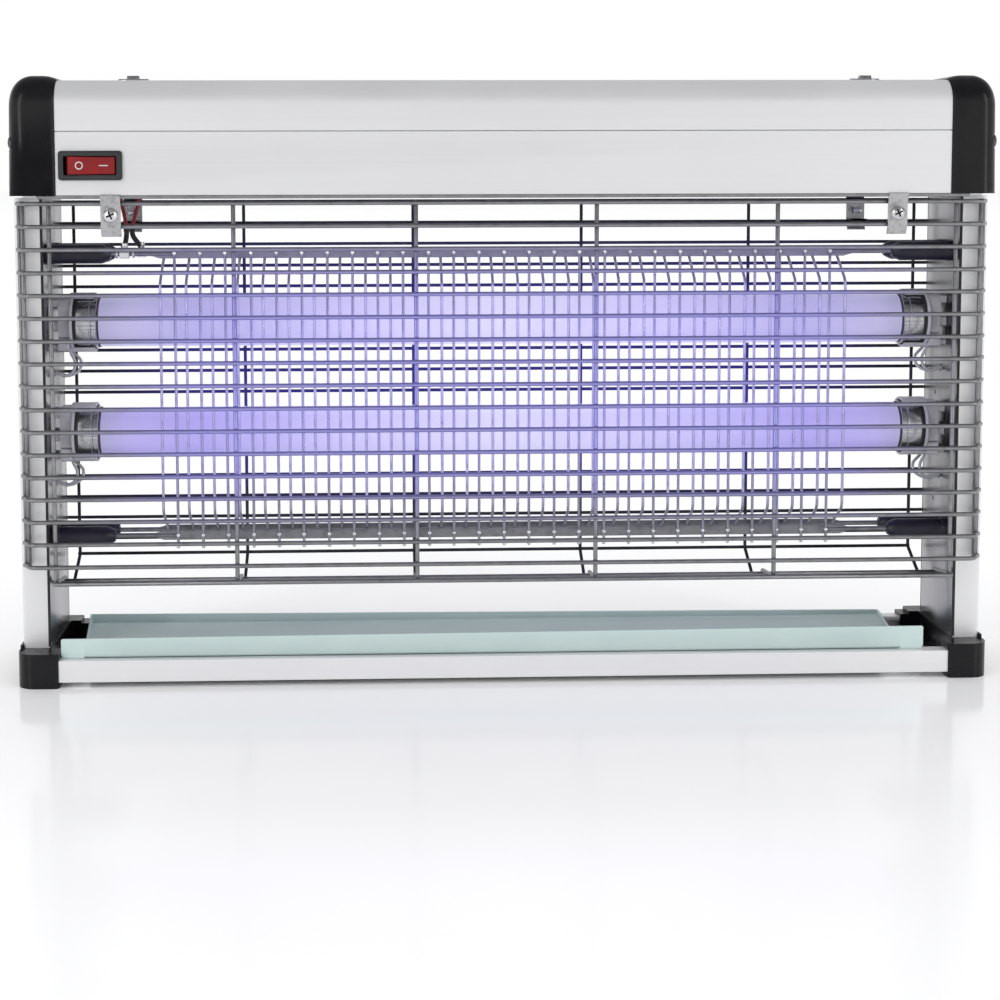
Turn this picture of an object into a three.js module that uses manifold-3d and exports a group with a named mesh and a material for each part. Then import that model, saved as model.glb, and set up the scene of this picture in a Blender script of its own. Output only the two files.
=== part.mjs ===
// Electric bug zapper: two 15 W tubes behind a high-voltage wire grid, under an
// aluminium housing that stands on two legs. Millimetres, +Z up, front towards -Y.
// The origin is on the ground, at the middle of the footprint.

import * as THREE from 'three';
import { mergeVertices } from 'three/addons/utils/BufferGeometryUtils.js';
import Module from 'manifold-3d';

const wasm = await Module();
wasm.setup();

// ---- driving dimensions ----------------------------------------------------------

const GAP = 0.3; // clearance between pieces that touch
const SHEET = 1.2; // aluminium sheet and extrusion wall
const SIDES = [-1, 1];
const PAST = 1; // how far a cutter reaches past what it cuts

// housing
const HOUSING_HALF_DEPTH = 43;
const HOUSING_BOTTOM = 243.8;
const HOUSING_SEAM = 276;
const HOUSING_TOP = 301;
const HOUSING_HALF_LENGTH = 236;
const SHOULDER_RADIUS = 12;
const SCREW_RIB = 6; // ribs on the long walls that take the end cap screws
const SCREW_RIB_Z = 267.5;
const LUG_HEIGHT = 14.7; // tabs under the housing that the guard clips screw to
const LUG_WIDTH = 9;
const LUG_Y = 34.8;

// end caps
const CAP_INNER_X = 220;
const CAP_OUTER_X = 243.5;
const CAP_WALL = 1.9;
const CAP_BOTTOM = 244.6;
const CAP_CORNER = 11; // top outer corner, seen from the front
const CAP_PLAN_CORNER = 9; // outer corners, seen from above
const CAP_DRAFT = 1;
const CAP_END_WALL = 2.6;
const CAP_RIM = 3; // left round the hollow of the cap's end
const CAP_SCREW_RECESS = 2;

// legs, feet and rails
const LEG_INNER_X = 229.5;
const LEG_OUTER_X = 243.2;
const LEG_HALF_DEPTH = 28.5;
const LEG_BOTTOM = 4;
const FOOT_INNER_X = 223.5;
const FOOT_OUTER_X = 244.5;
const FOOT_HALF_DEPTH = 43;
const FOOT_HEIGHT = 17.5;
const FOOT_OUTER_CORNER = 9;
const FOOT_INNER_CORNER = 2;
const FOOT_STEP_HEIGHT = 6; // the foot is low beside the leg's inner wall
const FOOT_STEP_HALF_DEPTH = 30;
const RAIL_OUTER_Y = 41.5;
const RAIL_INNER_Y = 33;
const RAIL_BOTTOM = 2.7;
const RAIL_TOP = 13.9;
const RAIL_HALF_LENGTH = 227.2;

// tray
const TRAY_LEFT = -223;
const TRAY_RIGHT = 212;
const TRAY_FRONT_Y = -37.4;
const TRAY_BACK_Y = 36.4;
const TRAY_FRONT_TOP = 24.4;
const TRAY_BACK_TOP = 19.6;
const TRAY_SHEET = 0.9;
const TRAY_SIDE_INSET_FRONT = 12;
const TRAY_SIDE_INSET_BACK = 4;
const TRAY_FRONT_LAP = 0.4; // the floor's front edge runs into the front wall

// guards
const GUARD_WIRE = 2;
const GUARD_Y = 39;
const GUARD_VERTICAL_Y = 37.4;
const GUARD_PITCH = 11.26;
const GUARD_TOP_Z = 240.7;
const GUARD_WIRE_COUNT = 17;
const GUARD_EDGE_Z = 52;
const GUARD_EDGE_HALF_LENGTH = 226;
const GUARD_VERTICALS = [-224.7, -134.8, -44.9, 44.9, 134.8, 224.7];
const GUARD_BEND_X = 236.5;
const GUARD_END_X = 241.3;
const GUARD_END_Y = 31;
const FRONT_LIP = { run: 27, drop: 2.5 };
const REAR_LIP = { run: 24, drop: 12 };

// high-voltage grid
const GRID_PITCH = 12.75;
const GRID_WIRE = 1.4;
const STRAIGHT_WIRE_COUNT = 27;
const HOOKED_WIRE_COUNT = 28;
const FRONT_RAIL_Y = -18;
const REAR_RAIL_Y = -2;
const HOOKED_WIRE_Y = -26.5;
const GRID_TOP_Z = 215.4;
const GRID_BOTTOM_Z = 72.4;
const GRID_RAIL_HALF_LENGTH = 173;
const GRID_RAIL_HEIGHT = 4.8;
const GRID_RAIL_THICKNESS = 1.4;
const GRID_RAIL_SLANT = 6; // its pointed ends
const GRID_ROD = 2.4;
const GRID_ROD_END_X = 211;
const HOOK_TOP_Z = 201;
const HOOK_BOTTOM_Z = 85;
const STRAIGHT_WIRE_BOTTOM_Z = 66.2;
const WELD_DEPTH = 0.3; // how far welded wires sink into each other

// insulators
const INSULATOR_RADIUS = 4.9;
const INSULATOR_TIP_RADIUS = 2.6;
const INSULATOR_TIP_X = 197.5;
const INSULATOR_TAPER_X = 204;
const INSULATOR_BORE = 1.9;
const INSULATOR_BORE_END_X = 213;

// tubes and their holders
const TUBE_Z = [179.8, 123.3];
const TUBE_HALF_LENGTH = 218.7;
const GLASS_RADIUS = 12.6;
const GLASS_WALL = 0.8;
const TUBE_CAP_RADIUS = 13.3;
const TUBE_CAP_LENGTH = 12.4;
const TUBE_CAP_SHEET = 0.8;
const PIN_RADIUS = 1.2;
const PIN_LENGTH = 6.6;
const PIN_SPACING = 12.7;
const HOLDER_FACE_X = 219.3;
const HOLDER_HALF_HEIGHT = 14;
const HOLDER_HALF_DEPTH = 11;
const HOLDER_RECESS_RADIUS = 9.2;
const HOLDER_RECESS_DEPTH = 7.4;
const LAMP_LEAD_RADIUS = 1.3;
const LAMP_LEAD_DROP = 26; // from the tube's middle line to the lead's hole in the leg

// switch
const SWITCH_X = -203;
const SWITCH_Z = 259.3;
const BEZEL_WIDTH = 31;
const BEZEL_HEIGHT = 14.3;
const BEZEL_THICKNESS = 1.8;
const SWITCH_BODY_WIDTH = 27.4;
const SWITCH_BODY_HEIGHT = 12.2;
const SWITCH_BODY_DEPTH = 17;
const ROCKER_WIDTH = 21.8;
const ROCKER_WELL_WIDTH = 24.6;
const ROCKER_HEIGHT = 8.6;
const ROCKER_PIVOT_DEPTH = 6; // from the rocker's middle line to its pivot
const ROCKER_PIVOT_Y = -38.4;
const ROCKER_TILT = 8; // degrees each side of level

// guard clips and their screws
const CLIP_X = 193.8;
const CLIP_WIDTH = 9.8;
const CLIP_Y = 41.9;
const CLIP_SHEET = 1;
const CLIP_SCREW_Z = 235.1;
const CLIP_TOP_LEAN = 2.3;
const CLIP_BOTTOM_LEAN = 2.4;
const SCREW_RADIUS = 1.5;
const SCREW_HOLE_RADIUS = 1.85;
const SCREW_HEAD_RADIUS = 3.6;
const SCREW_HEAD_HEIGHT = 2;

// hangers
const HANGER_X = 187;
const HANGER_WIDTH = 6;
const HANGER_FOOT_Y = 5.3;
const HANGER_STRAP = 1;
const RING_WIRE_RADIUS = 0.9;
const RING_RADIUS = 7;
const RING_STEPS = 8;
const RING_AXIS_Z = 302.4;

// electrics
const GLAND_X = -196;
const GLAND_Z = 259.3;
const GLAND_BORE = 3.4;
const GLAND_SLEEVE = 5;
const GLAND_COLLAR = 7.5;
const GLAND_COLLAR_THICKNESS = 2;
const GLAND_NOSE = 5.2;
const GLAND_END_Y = 47.7;
const BALLAST = { x: 70, length: 150, width: 40, height: 30, flange: 12 };
const HV_TRANSFORMER = { x: -90, length: 60, width: 44, height: 36, flange: 8 };
const HV_LEAD_RADIUS = 1.2;
const HV_HOLE_RADIUS = 1.8;
const HV_LEADS = [
  { name: 'hv_lead_front', floorX: -192.8, tieX: -190, rodX: -190.6, railY: FRONT_RAIL_Y },
  { name: 'hv_lead_rear', floorX: -184.2, tieX: -187.2, rodX: -184.2, railY: REAR_RAIL_Y },
];
const HV_FLOOR_Y = -10;
const HV_TIE_Z = 226;
const CRIMP_HALF = 2.6;
const CRIMP_NECK = 3.4;

// ---- materials ---------------------------------------------------------------------

function finish(color, roughness, metalness) {
  return new THREE.MeshStandardMaterial({ color, roughness, metalness });
}

const silverAluminium = finish(0xdfe0e2, 0.45, 0.35);
const blackPlastic = finish(0x1c1c20, 0.25, 0);
const trayGreen = finish(0xb9cbc9, 0.5, 0);
const galvanisedWire = finish(0x8a8a92, 0.4, 0.8);
const gridSteel = finish(0x9c9caa, 0.35, 0.8);
const zinc = finish(0xa9a9ad, 0.35, 0.9);
const chrome = finish(0xd0d0d4, 0.15, 1);
const tubeGlass = finish(0xb9b4ee, 0.15, 0);
const holderWhite = finish(0xc6c4cf, 0.5, 0);
const switchRed = finish(0xab2323, 0.3, 0);
const leadRed = finish(0x7d1f26, 0.5, 0);
const leadWhite = finish(0xcac9d2, 0.5, 0);
const steelCan = finish(0xb4b6b8, 0.4, 0.7);

// ---- solid modelling helpers -------------------------------------------------------

function toSolid(geometry) {
  const bare = geometry.clone();
  bare.deleteAttribute('normal');
  bare.deleteAttribute('uv');
  const merged = mergeVertices(bare, 1e-4);
  return new wasm.Manifold(new wasm.Mesh({
    numProp: 3,
    vertProperties: new Float32Array(merged.attributes.position.array),
    triVerts: new Uint32Array(merged.index.array),
  }));
}

function toGeometry(solid) {
  const { vertProperties, triVerts } = solid.getMesh();
  const geometry = new THREE.BufferGeometry();
  geometry.setAttribute('position', new THREE.BufferAttribute(vertProperties, 3));
  geometry.setIndex(new THREE.BufferAttribute(triVerts, 1));
  geometry.computeVertexNormals();
  return geometry;
}

function join(solids) {
  return solids.reduce((whole, solid) => whole.add(solid));
}

function cut(solid, cutters) {
  return cutters.reduce((rest, cutter) => rest.subtract(cutter), solid);
}

// A box between two opposite corners, given in any order.
function block(x0, x1, y0, y1, z0, z1) {
  const geometry = new THREE.BoxGeometry(Math.abs(x1 - x0), Math.abs(y1 - y0), Math.abs(z1 - z0));
  geometry.translate((x0 + x1) / 2, (y0 + y1) / 2, (z0 + z1) / 2);
  return toSolid(geometry);
}

function polygon(points) {
  return new THREE.Shape(points.map(([a, b]) => new THREE.Vector2(a, b)));
}

function extrude(shape, length, curveSegments) {
  return new THREE.ExtrudeGeometry(shape, { depth: length, bevelEnabled: false, curveSegments });
}

const AXES = {
  x: new THREE.Matrix4().makeBasis(
    new THREE.Vector3(0, 1, 0), new THREE.Vector3(0, 0, 1), new THREE.Vector3(1, 0, 0)),
  y: new THREE.Matrix4().makeBasis(
    new THREE.Vector3(1, 0, 0), new THREE.Vector3(0, 0, 1), new THREE.Vector3(0, -1, 0)),
  z: new THREE.Matrix4(),
};

// A (y, z) outline drawn out from one X to another, in any order.
function alongX(shape, x0, x1, curveSegments = 6) {
  const geometry = extrude(shape, Math.abs(x1 - x0), curveSegments);
  geometry.applyMatrix4(AXES.x).translate(Math.min(x0, x1), 0, 0);
  return toSolid(geometry);
}

// An (x, z) outline drawn out from one Y to another.
function alongY(shape, y0, y1, curveSegments = 6) {
  const geometry = extrude(shape, Math.abs(y1 - y0), curveSegments);
  geometry.applyMatrix4(AXES.y).translate(0, Math.max(y0, y1), 0);
  return toSolid(geometry);
}

// An (x, y) outline drawn out from one Z to another.
function alongZ(shape, z0, z1, curveSegments = 6) {
  const geometry = extrude(shape, Math.abs(z1 - z0), curveSegments);
  geometry.translate(0, 0, Math.min(z0, z1));
  return toSolid(geometry);
}

function rod(axis, radius, from, to, a, b, sides = 12) {
  const round = new THREE.Shape();
  round.absarc(a, b, radius, 0, 2 * Math.PI);
  const along = { x: alongX, y: alongY, z: alongZ }[axis];
  return along(round, from, to, sides / 2);
}

// The outline of a flat bent strip: its centre line thickened, with mitred corners.
function strip(points, width) {
  const path = points.map(([a, b]) => new THREE.Vector2(a, b));
  const last = path.length - 1;
  const near = [];
  const far = [];
  path.forEach((point, i) => {
    const before = Math.max(i, 1);
    const after = Math.min(i, last - 1);
    const incoming = path[before].clone().sub(path[before - 1]).normalize();
    const outgoing = path[after + 1].clone().sub(path[after]).normalize();
    const along = incoming.add(outgoing).normalize();
    const reach = width / 2 / along.dot(outgoing);
    const offset = new THREE.Vector2(-along.y, along.x).multiplyScalar(reach);
    near.push(point.clone().add(offset));
    far.unshift(point.clone().sub(offset));
  });
  return new THREE.Shape([...near, ...far]);
}

// A rectangle with one radius at its corners, or one for its low side and one for its high side.
function roundedRectangle(a0, b0, a1, b1, low, high = low) {
  const shape = new THREE.Shape();
  shape.absarc(a1 - high, b0 + high, high, -Math.PI / 2, 0);
  shape.absarc(a1 - high, b1 - high, high, 0, Math.PI / 2);
  shape.absarc(a0 + low, b1 - low, low, Math.PI / 2, Math.PI);
  shape.absarc(a0 + low, b0 + low, low, Math.PI, 1.5 * Math.PI);
  return shape;
}

// A round bar swept along a smooth curve through the given points.
function cable(points, radius, steps) {
  const section = new THREE.Shape();
  section.absarc(0, 0, radius, 0, 2 * Math.PI);
  const curve = new THREE.CatmullRomCurve3(points.map((point) => new THREE.Vector3(...point)));
  const options = { steps, bevelEnabled: false, extrudePath: curve, curveSegments: 3 };
  return toSolid(new THREE.ExtrudeGeometry(section, options));
}

// ---- the assembly ------------------------------------------------------------------

const zapper = new THREE.Group();

function place(name, solid, material) {
  const mesh = new THREE.Mesh(toGeometry(solid), material);
  mesh.name = name;
  zapper.add(mesh);
}

function sideName(side) {
  return side < 0 ? 'left' : 'right';
}

// ---- housing -----------------------------------------------------------------------

// The housing's outer section in (y, z), grown by a margin.
function housingSection(margin) {
  const halfDepth = HOUSING_HALF_DEPTH + margin;
  const radius = SHOULDER_RADIUS + margin;
  const top = HOUSING_TOP + margin;
  const bottom = HOUSING_BOTTOM - margin;
  const shape = new THREE.Shape();
  shape.moveTo(-halfDepth, bottom);
  shape.lineTo(halfDepth, bottom);
  shape.absarc(halfDepth - radius, top - radius, radius, 0, Math.PI / 2);
  shape.absarc(-halfDepth + radius, top - radius, radius, Math.PI / 2, Math.PI);
  shape.closePath();
  return shape;
}

function housingCover() {
  const length = HOUSING_HALF_LENGTH;
  const past = HOUSING_HALF_DEPTH + PAST;
  const shell = alongX(housingSection(0), -length, length)
    .subtract(alongX(housingSection(-SHEET), -length - PAST, length + PAST));
  const lower = block(-length - PAST, length + PAST, -past, past, HOUSING_BOTTOM - PAST, HOUSING_SEAM);
  return shell.subtract(lower);
}

function housingBase() {
  const length = HOUSING_HALF_LENGTH;
  const depth = HOUSING_HALF_DEPTH;
  const top = HOUSING_SEAM - GAP;
  const inner = depth - SHEET;
  const ribTop = SCREW_RIB_Z + SCREW_RIB;
  const channel = alongX(polygon([
    [-depth, top], [-depth, HOUSING_BOTTOM], [depth, HOUSING_BOTTOM], [depth, top], [inner, top],
    [inner, ribTop], [inner - SCREW_RIB, ribTop], [inner - SCREW_RIB, SCREW_RIB_Z], [inner, SCREW_RIB_Z],
    [inner, HOUSING_BOTTOM + SHEET], [-inner, HOUSING_BOTTOM + SHEET],
    [-inner, SCREW_RIB_Z], [SCREW_RIB - inner, SCREW_RIB_Z], [SCREW_RIB - inner, ribTop], [-inner, ribTop],
    [-inner, top],
  ]), -length, length);
  return cut(join([channel, ...guardLugs()]), [
    switchCutout(),
    rod('y', GLAND_SLEEVE + GAP, inner - PAST, depth + PAST, GLAND_X, GLAND_Z),
    ...HV_LEADS.map(({ floorX }) => rod(
      'z', HV_HOLE_RADIUS, HOUSING_BOTTOM - PAST, HOUSING_BOTTOM + SHEET + PAST, floorX, HV_FLOOR_Y, 8)),
    ...capScrewPlaces().map(({ side, y, z }) => rod(
      'x', SCREW_HOLE_RADIUS, side * (length - 14), side * (length + PAST), y, z, 8)),
  ]);
}

function switchCutout() {
  const halfWidth = SWITCH_BODY_WIDTH / 2 + GAP;
  const halfHeight = SWITCH_BODY_HEIGHT / 2 + GAP;
  const inner = HOUSING_HALF_DEPTH - SHEET;
  return block(
    SWITCH_X - halfWidth, SWITCH_X + halfWidth, -HOUSING_HALF_DEPTH - PAST, PAST - inner,
    SWITCH_Z - halfHeight, SWITCH_Z + halfHeight);
}

// Tabs under the housing that the guard clips screw to.
function guardLugs() {
  return clipPlaces().map(({ x, facing }) => {
    const top = HOUSING_BOTTOM + SHEET / 2;
    const inner = facing * (LUG_Y - SHEET / 2);
    const outer = facing * (LUG_Y + SHEET / 2);
    const tab = block(x - LUG_WIDTH / 2, x + LUG_WIDTH / 2, inner, outer, top - SHEET / 2 - LUG_HEIGHT, top);
    const hole = rod('y', SCREW_HOLE_RADIUS, inner - facing, outer + facing, x, CLIP_SCREW_Z, 8);
    return tab.subtract(hole);
  });
}

// ---- end caps ----------------------------------------------------------------------

function endCap(side) {
  const margin = CAP_WALL + GAP;
  const fromSide = alongX(housingSection(margin), side * CAP_INNER_X, side * CAP_OUTER_X);
  const halfDepth = HOUSING_HALF_DEPTH + margin;
  const top = HOUSING_TOP + margin;
  const fromFront = alongY(capFrontOutline(side, top), -halfDepth - PAST, halfDepth + PAST);
  const fromAbove = alongZ(capPlanOutline(side, halfDepth), CAP_BOTTOM - PAST, top + PAST, 4);
  const body = fromSide.intersect(fromFront).intersect(fromAbove);
  const hollow = HOUSING_HALF_DEPTH - CAP_PLAN_CORNER;
  const outside = side * (CAP_OUTER_X + PAST);
  return cut(body, [
    alongX(housingSection(GAP), side * (CAP_INNER_X - PAST), side * (HOUSING_HALF_LENGTH + GAP)),
    block(
      side * CAP_INNER_X, side * (CAP_OUTER_X - CAP_END_WALL), -hollow, hollow,
      CAP_BOTTOM + CAP_RIM, HOUSING_TOP - CAP_PLAN_CORNER),
    ...capScrewPlaces().filter((screw) => screw.side === side).flatMap(({ y, z }) => [
      rod('x', SCREW_HOLE_RADIUS, side * HOUSING_HALF_LENGTH, outside, y, z, 8),
      rod('x', SCREW_HEAD_RADIUS + GAP, side * (CAP_OUTER_X - CAP_SCREW_RECESS), outside, y, z),
    ]),
  ]);
}

// The cap seen from the front: round at its top outer corner, with a slight draft.
function capFrontOutline(side, top) {
  const outer = CAP_OUTER_X - CAP_DRAFT;
  const inner = CAP_INNER_X - PAST;
  const shape = new THREE.Shape();
  shape.moveTo(inner, CAP_BOTTOM);
  shape.lineTo(CAP_OUTER_X, CAP_BOTTOM);
  shape.absarc(outer - CAP_CORNER, top - CAP_CORNER, CAP_CORNER, 0, Math.PI / 2);
  shape.lineTo(inner, top);
  shape.closePath();
  return side > 0 ? shape : mirrored(shape);
}

// The cap seen from above: round at its two outer corners.
function capPlanOutline(side, halfDepth) {
  const inner = CAP_INNER_X - PAST;
  const middle = CAP_OUTER_X - CAP_PLAN_CORNER;
  const shape = new THREE.Shape();
  shape.moveTo(inner, -halfDepth);
  shape.absarc(middle, CAP_PLAN_CORNER - halfDepth, CAP_PLAN_CORNER, -Math.PI / 2, 0);
  shape.absarc(middle, halfDepth - CAP_PLAN_CORNER, CAP_PLAN_CORNER, 0, Math.PI / 2);
  shape.lineTo(inner, halfDepth);
  shape.closePath();
  return side > 0 ? shape : mirrored(shape);
}

// An outline with its left and right swapped.
function mirrored(shape) {
  return new THREE.Shape(shape.getPoints(6).map((point) => new THREE.Vector2(-point.x, point.y)));
}

function capScrewPlaces() {
  const y = HOUSING_HALF_DEPTH - SHEET - SCREW_RIB / 2;
  const z = SCREW_RIB_Z + SCREW_RIB / 2;
  return SIDES.flatMap((side) => SIDES.map((facing) => ({ side, facing, y: facing * y, z })));
}

function capScrew({ side, y, z }) {
  const headBase = CAP_OUTER_X - CAP_SCREW_RECESS + GAP;
  const head = rod('x', SCREW_HEAD_RADIUS, side * headBase, side * (CAP_OUTER_X - 0.2), y, z);
  const shank = rod('x', SCREW_RADIUS, side * (HOUSING_HALF_LENGTH - 10), side * (headBase + 0.5), y, z, 8);
  return join([head, shank]);
}

// ---- legs, feet and rails ----------------------------------------------------------

function leg(side) {
  const halfDepth = LEG_HALF_DEPTH;
  const wall = SHEET;
  const top = HOUSING_BOTTOM - GAP;
  const outer = block(side * LEG_INNER_X, side * LEG_OUTER_X, -halfDepth, halfDepth, LEG_BOTTOM, top);
  const inner = block(
    side * (LEG_INNER_X + wall), side * (LEG_OUTER_X - wall),
    wall - halfDepth, halfDepth - wall, LEG_BOTTOM - PAST, top + PAST);
  const leadHoles = TUBE_Z.map((z) => rod(
    'x', LAMP_LEAD_RADIUS + 2 * GAP, side * (LEG_INNER_X - PAST), side * (LEG_INNER_X + wall + PAST),
    0, z - LAMP_LEAD_DROP, 8));
  return cut(outer, [inner, ...leadHoles]);
}

function foot(side) {
  const shape = roundedRectangle(
    FOOT_INNER_X, -FOOT_HALF_DEPTH, FOOT_OUTER_X, FOOT_HALF_DEPTH, FOOT_INNER_CORNER, FOOT_OUTER_CORNER);
  const outline = side > 0 ? shape : mirrored(shape);
  const legPocket = block(
    side * (LEG_INNER_X - GAP), side * (LEG_OUTER_X + GAP),
    -LEG_HALF_DEPTH - GAP, LEG_HALF_DEPTH + GAP, LEG_BOTTOM - GAP, FOOT_HEIGHT + PAST);
  const railPockets = SIDES.map((facing) => block(
    side * (FOOT_INNER_X - PAST), side * (RAIL_HALF_LENGTH + GAP),
    facing * (RAIL_INNER_Y - GAP), facing * (RAIL_OUTER_Y + GAP),
    RAIL_BOTTOM - GAP, RAIL_TOP + GAP));
  const step = block(
    side * (FOOT_INNER_X - PAST), side * LEG_INNER_X, -FOOT_STEP_HALF_DEPTH, FOOT_STEP_HALF_DEPTH,
    FOOT_STEP_HEIGHT, FOOT_HEIGHT + PAST);
  return cut(alongZ(outline, 0, FOOT_HEIGHT, 4), [legPocket, step, ...railPockets]);
}

function bottomRail(facing) {
  const outer = facing * RAIL_OUTER_Y;
  const inner = facing * RAIL_INNER_Y;
  const wall = facing * SHEET;
  return alongX(polygon([
    [outer, RAIL_BOTTOM], [outer, RAIL_TOP], [inner, RAIL_TOP], [inner, RAIL_TOP - SHEET],
    [outer - wall, RAIL_TOP - SHEET], [outer - wall, RAIL_BOTTOM + SHEET],
    [inner, RAIL_BOTTOM + SHEET], [inner, RAIL_BOTTOM],
  ]), -RAIL_HALF_LENGTH, RAIL_HALF_LENGTH);
}

// ---- tray --------------------------------------------------------------------------

function tray() {
  const floorZ = RAIL_TOP + GAP;
  const frontLeft = TRAY_LEFT + TRAY_SIDE_INSET_FRONT;
  const frontRight = TRAY_RIGHT - TRAY_SIDE_INSET_FRONT;
  const backLeft = TRAY_LEFT + TRAY_SIDE_INSET_BACK;
  const backRight = TRAY_RIGHT - TRAY_SIDE_INSET_BACK;
  const rimPath = [
    [frontLeft, TRAY_FRONT_Y + TRAY_FRONT_LAP], [backLeft, TRAY_BACK_Y - TRAY_SHEET / 2],
    [backRight, TRAY_BACK_Y - TRAY_SHEET / 2], [frontRight, TRAY_FRONT_Y + TRAY_FRONT_LAP],
  ];
  const floor = alongZ(polygon(rimPath), floorZ, floorZ + TRAY_SHEET);
  const rim = alongZ(strip(rimPath, TRAY_SHEET), floorZ, TRAY_BACK_TOP);
  const front = block(TRAY_LEFT, TRAY_RIGHT, TRAY_FRONT_Y, TRAY_FRONT_Y + TRAY_SHEET, floorZ, TRAY_FRONT_TOP);
  return join([floor, rim, front]);
}

// ---- guards ------------------------------------------------------------------------

// A welded wire guard. Its long wires turn back in front of the legs, and its upright
// wires turn inwards at the bottom as a lip.
function guard(facing, lip) {
  const half = GUARD_WIRE / 2;
  const bottomWireZ = GUARD_TOP_Z - GUARD_PITCH * (GUARD_WIRE_COUNT - 1);
  const wrap = strip([
    [-GUARD_END_X, facing * GUARD_END_Y], [-GUARD_BEND_X, facing * GUARD_Y],
    [GUARD_BEND_X, facing * GUARD_Y], [GUARD_END_X, facing * GUARD_END_Y],
  ], GUARD_WIRE);
  const wires = [];
  for (let i = 0; i < GUARD_WIRE_COUNT; i += 1) {
    const z = GUARD_TOP_Z - GUARD_PITCH * i;
    wires.push(alongZ(wrap, z - half, z + half));
  }
  const lipEnd = [facing * (GUARD_VERTICAL_Y - lip.run), GUARD_EDGE_Z - lip.drop];
  const upright = strip([
    [facing * GUARD_VERTICAL_Y, GUARD_TOP_Z + half], [facing * GUARD_VERTICAL_Y, GUARD_EDGE_Z], lipEnd,
  ], GUARD_WIRE);
  for (const x of GUARD_VERTICALS) {
    wires.push(alongX(upright, x - half, x + half));
  }
  for (const side of SIDES) {
    const bendX = side * (GUARD_BEND_X - 0.6);
    wires.push(block(
      bendX - half, bendX + half, facing * (GUARD_VERTICAL_Y - half), facing * (GUARD_VERTICAL_Y + half),
      bottomWireZ - half, GUARD_TOP_Z + half));
    wires.push(alongZ(endPost(side, facing), bottomWireZ - half - 0.4, GUARD_TOP_Z + half + 0.4));
  }
  wires.push(edgeWire(facing * GUARD_Y, GUARD_EDGE_Z));
  for (const share of [0.5, 0.96]) {
    const y = facing * (GUARD_VERTICAL_Y - lip.run * share);
    wires.push(edgeWire(y, GUARD_EDGE_Z - lip.drop * share - GUARD_WIRE * 0.8));
  }
  return join(wires);
}

// The upright wire that closes a guard's end, square to the long wires that end in it.
function endPost(side, facing) {
  const end = new THREE.Vector2(side * GUARD_END_X, facing * GUARD_END_Y);
  const bend = new THREE.Vector2(side * GUARD_BEND_X, facing * GUARD_Y);
  const back = bend.sub(end).setLength(GUARD_WIRE * 0.6);
  const front = end.clone().sub(back.clone().multiplyScalar(0.6));
  return strip([front.toArray(), end.add(back).toArray()], GUARD_WIRE * 1.2);
}

function edgeWire(y, z) {
  const half = GUARD_WIRE / 2;
  return block(-GUARD_EDGE_HALF_LENGTH, GUARD_EDGE_HALF_LENGTH, y - half, y + half, z - half, z + half);
}

// ---- high-voltage grid -------------------------------------------------------------

// A rail is a flat strip with a round rod at each end, which the insulators hold.
function gridRail(y, z) {
  const halfHeight = GRID_RAIL_HEIGHT / 2;
  const halfThickness = GRID_RAIL_THICKNESS / 2;
  const length = GRID_RAIL_HALF_LENGTH;
  const point = length + GRID_RAIL_SLANT;
  const plate = alongY(polygon([
    [-length, z - halfHeight], [length, z - halfHeight], [point, z], [length, z + halfHeight],
    [-length, z + halfHeight], [-point, z],
  ]), y - halfThickness, y + halfThickness);
  const rods = SIDES.map((side) => rod(
    'x', GRID_ROD / 2, side * (length - 4), side * GRID_ROD_END_X, y, z, 8));
  return join([plate, ...rods]);
}

function evenlySpaced(count) {
  return Array.from({ length: count }, (_, i) => (i - (count - 1) / 2) * GRID_PITCH);
}

// Straight wires on the front rails.
function straightElectrode() {
  const half = GRID_WIRE / 2;
  const y = FRONT_RAIL_Y - GRID_RAIL_THICKNESS / 2 - half + WELD_DEPTH;
  const wires = evenlySpaced(STRAIGHT_WIRE_COUNT).map((x) => block(
    x - half, x + half, y - half, y + half, STRAIGHT_WIRE_BOTTOM_Z, GRID_TOP_Z + 1));
  return join([gridRail(FRONT_RAIL_Y, GRID_TOP_Z), gridRail(FRONT_RAIL_Y, GRID_BOTTOM_Z), ...wires]);
}

// Hooked wires on the rear rails: they reach forward between the straight wires, then
// run down in front of them.
function hookedElectrode() {
  const half = GRID_WIRE / 2;
  const hook = strip([
    [REAR_RAIL_Y, GRID_TOP_Z], [HOOKED_WIRE_Y, HOOK_TOP_Z],
    [HOOKED_WIRE_Y, HOOK_BOTTOM_Z], [REAR_RAIL_Y, GRID_BOTTOM_Z],
  ], GRID_WIRE);
  const wires = evenlySpaced(HOOKED_WIRE_COUNT).map((x) => alongX(hook, x - half, x + half));
  return join([gridRail(REAR_RAIL_Y, GRID_TOP_Z), gridRail(REAR_RAIL_Y, GRID_BOTTOM_Z), ...wires]);
}

function insulator(side, y, z) {
  const root = LEG_INNER_X - GAP;
  const profile = [
    [INSULATOR_BORE, INSULATOR_TIP_X], [INSULATOR_TIP_RADIUS, INSULATOR_TIP_X],
    [INSULATOR_RADIUS, INSULATOR_TAPER_X], [INSULATOR_RADIUS, root], [0, root],
    [0, INSULATOR_BORE_END_X], [INSULATOR_BORE, INSULATOR_BORE_END_X], [INSULATOR_BORE, INSULATOR_TIP_X],
  ];
  return turned(profile, side, y, z, 10);
}

// A (radius, x) profile turned about a line parallel to X, pointing left or right.
function turned(profile, side, y, z, segments) {
  const points = profile.map(([radius, x]) => new THREE.Vector2(radius, x));
  const geometry = new THREE.LatheGeometry(points, segments);
  geometry.rotateZ(-side * Math.PI / 2);
  geometry.translate(0, y, z);
  return toSolid(geometry);
}

// ---- tubes and lampholders ---------------------------------------------------------

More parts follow.
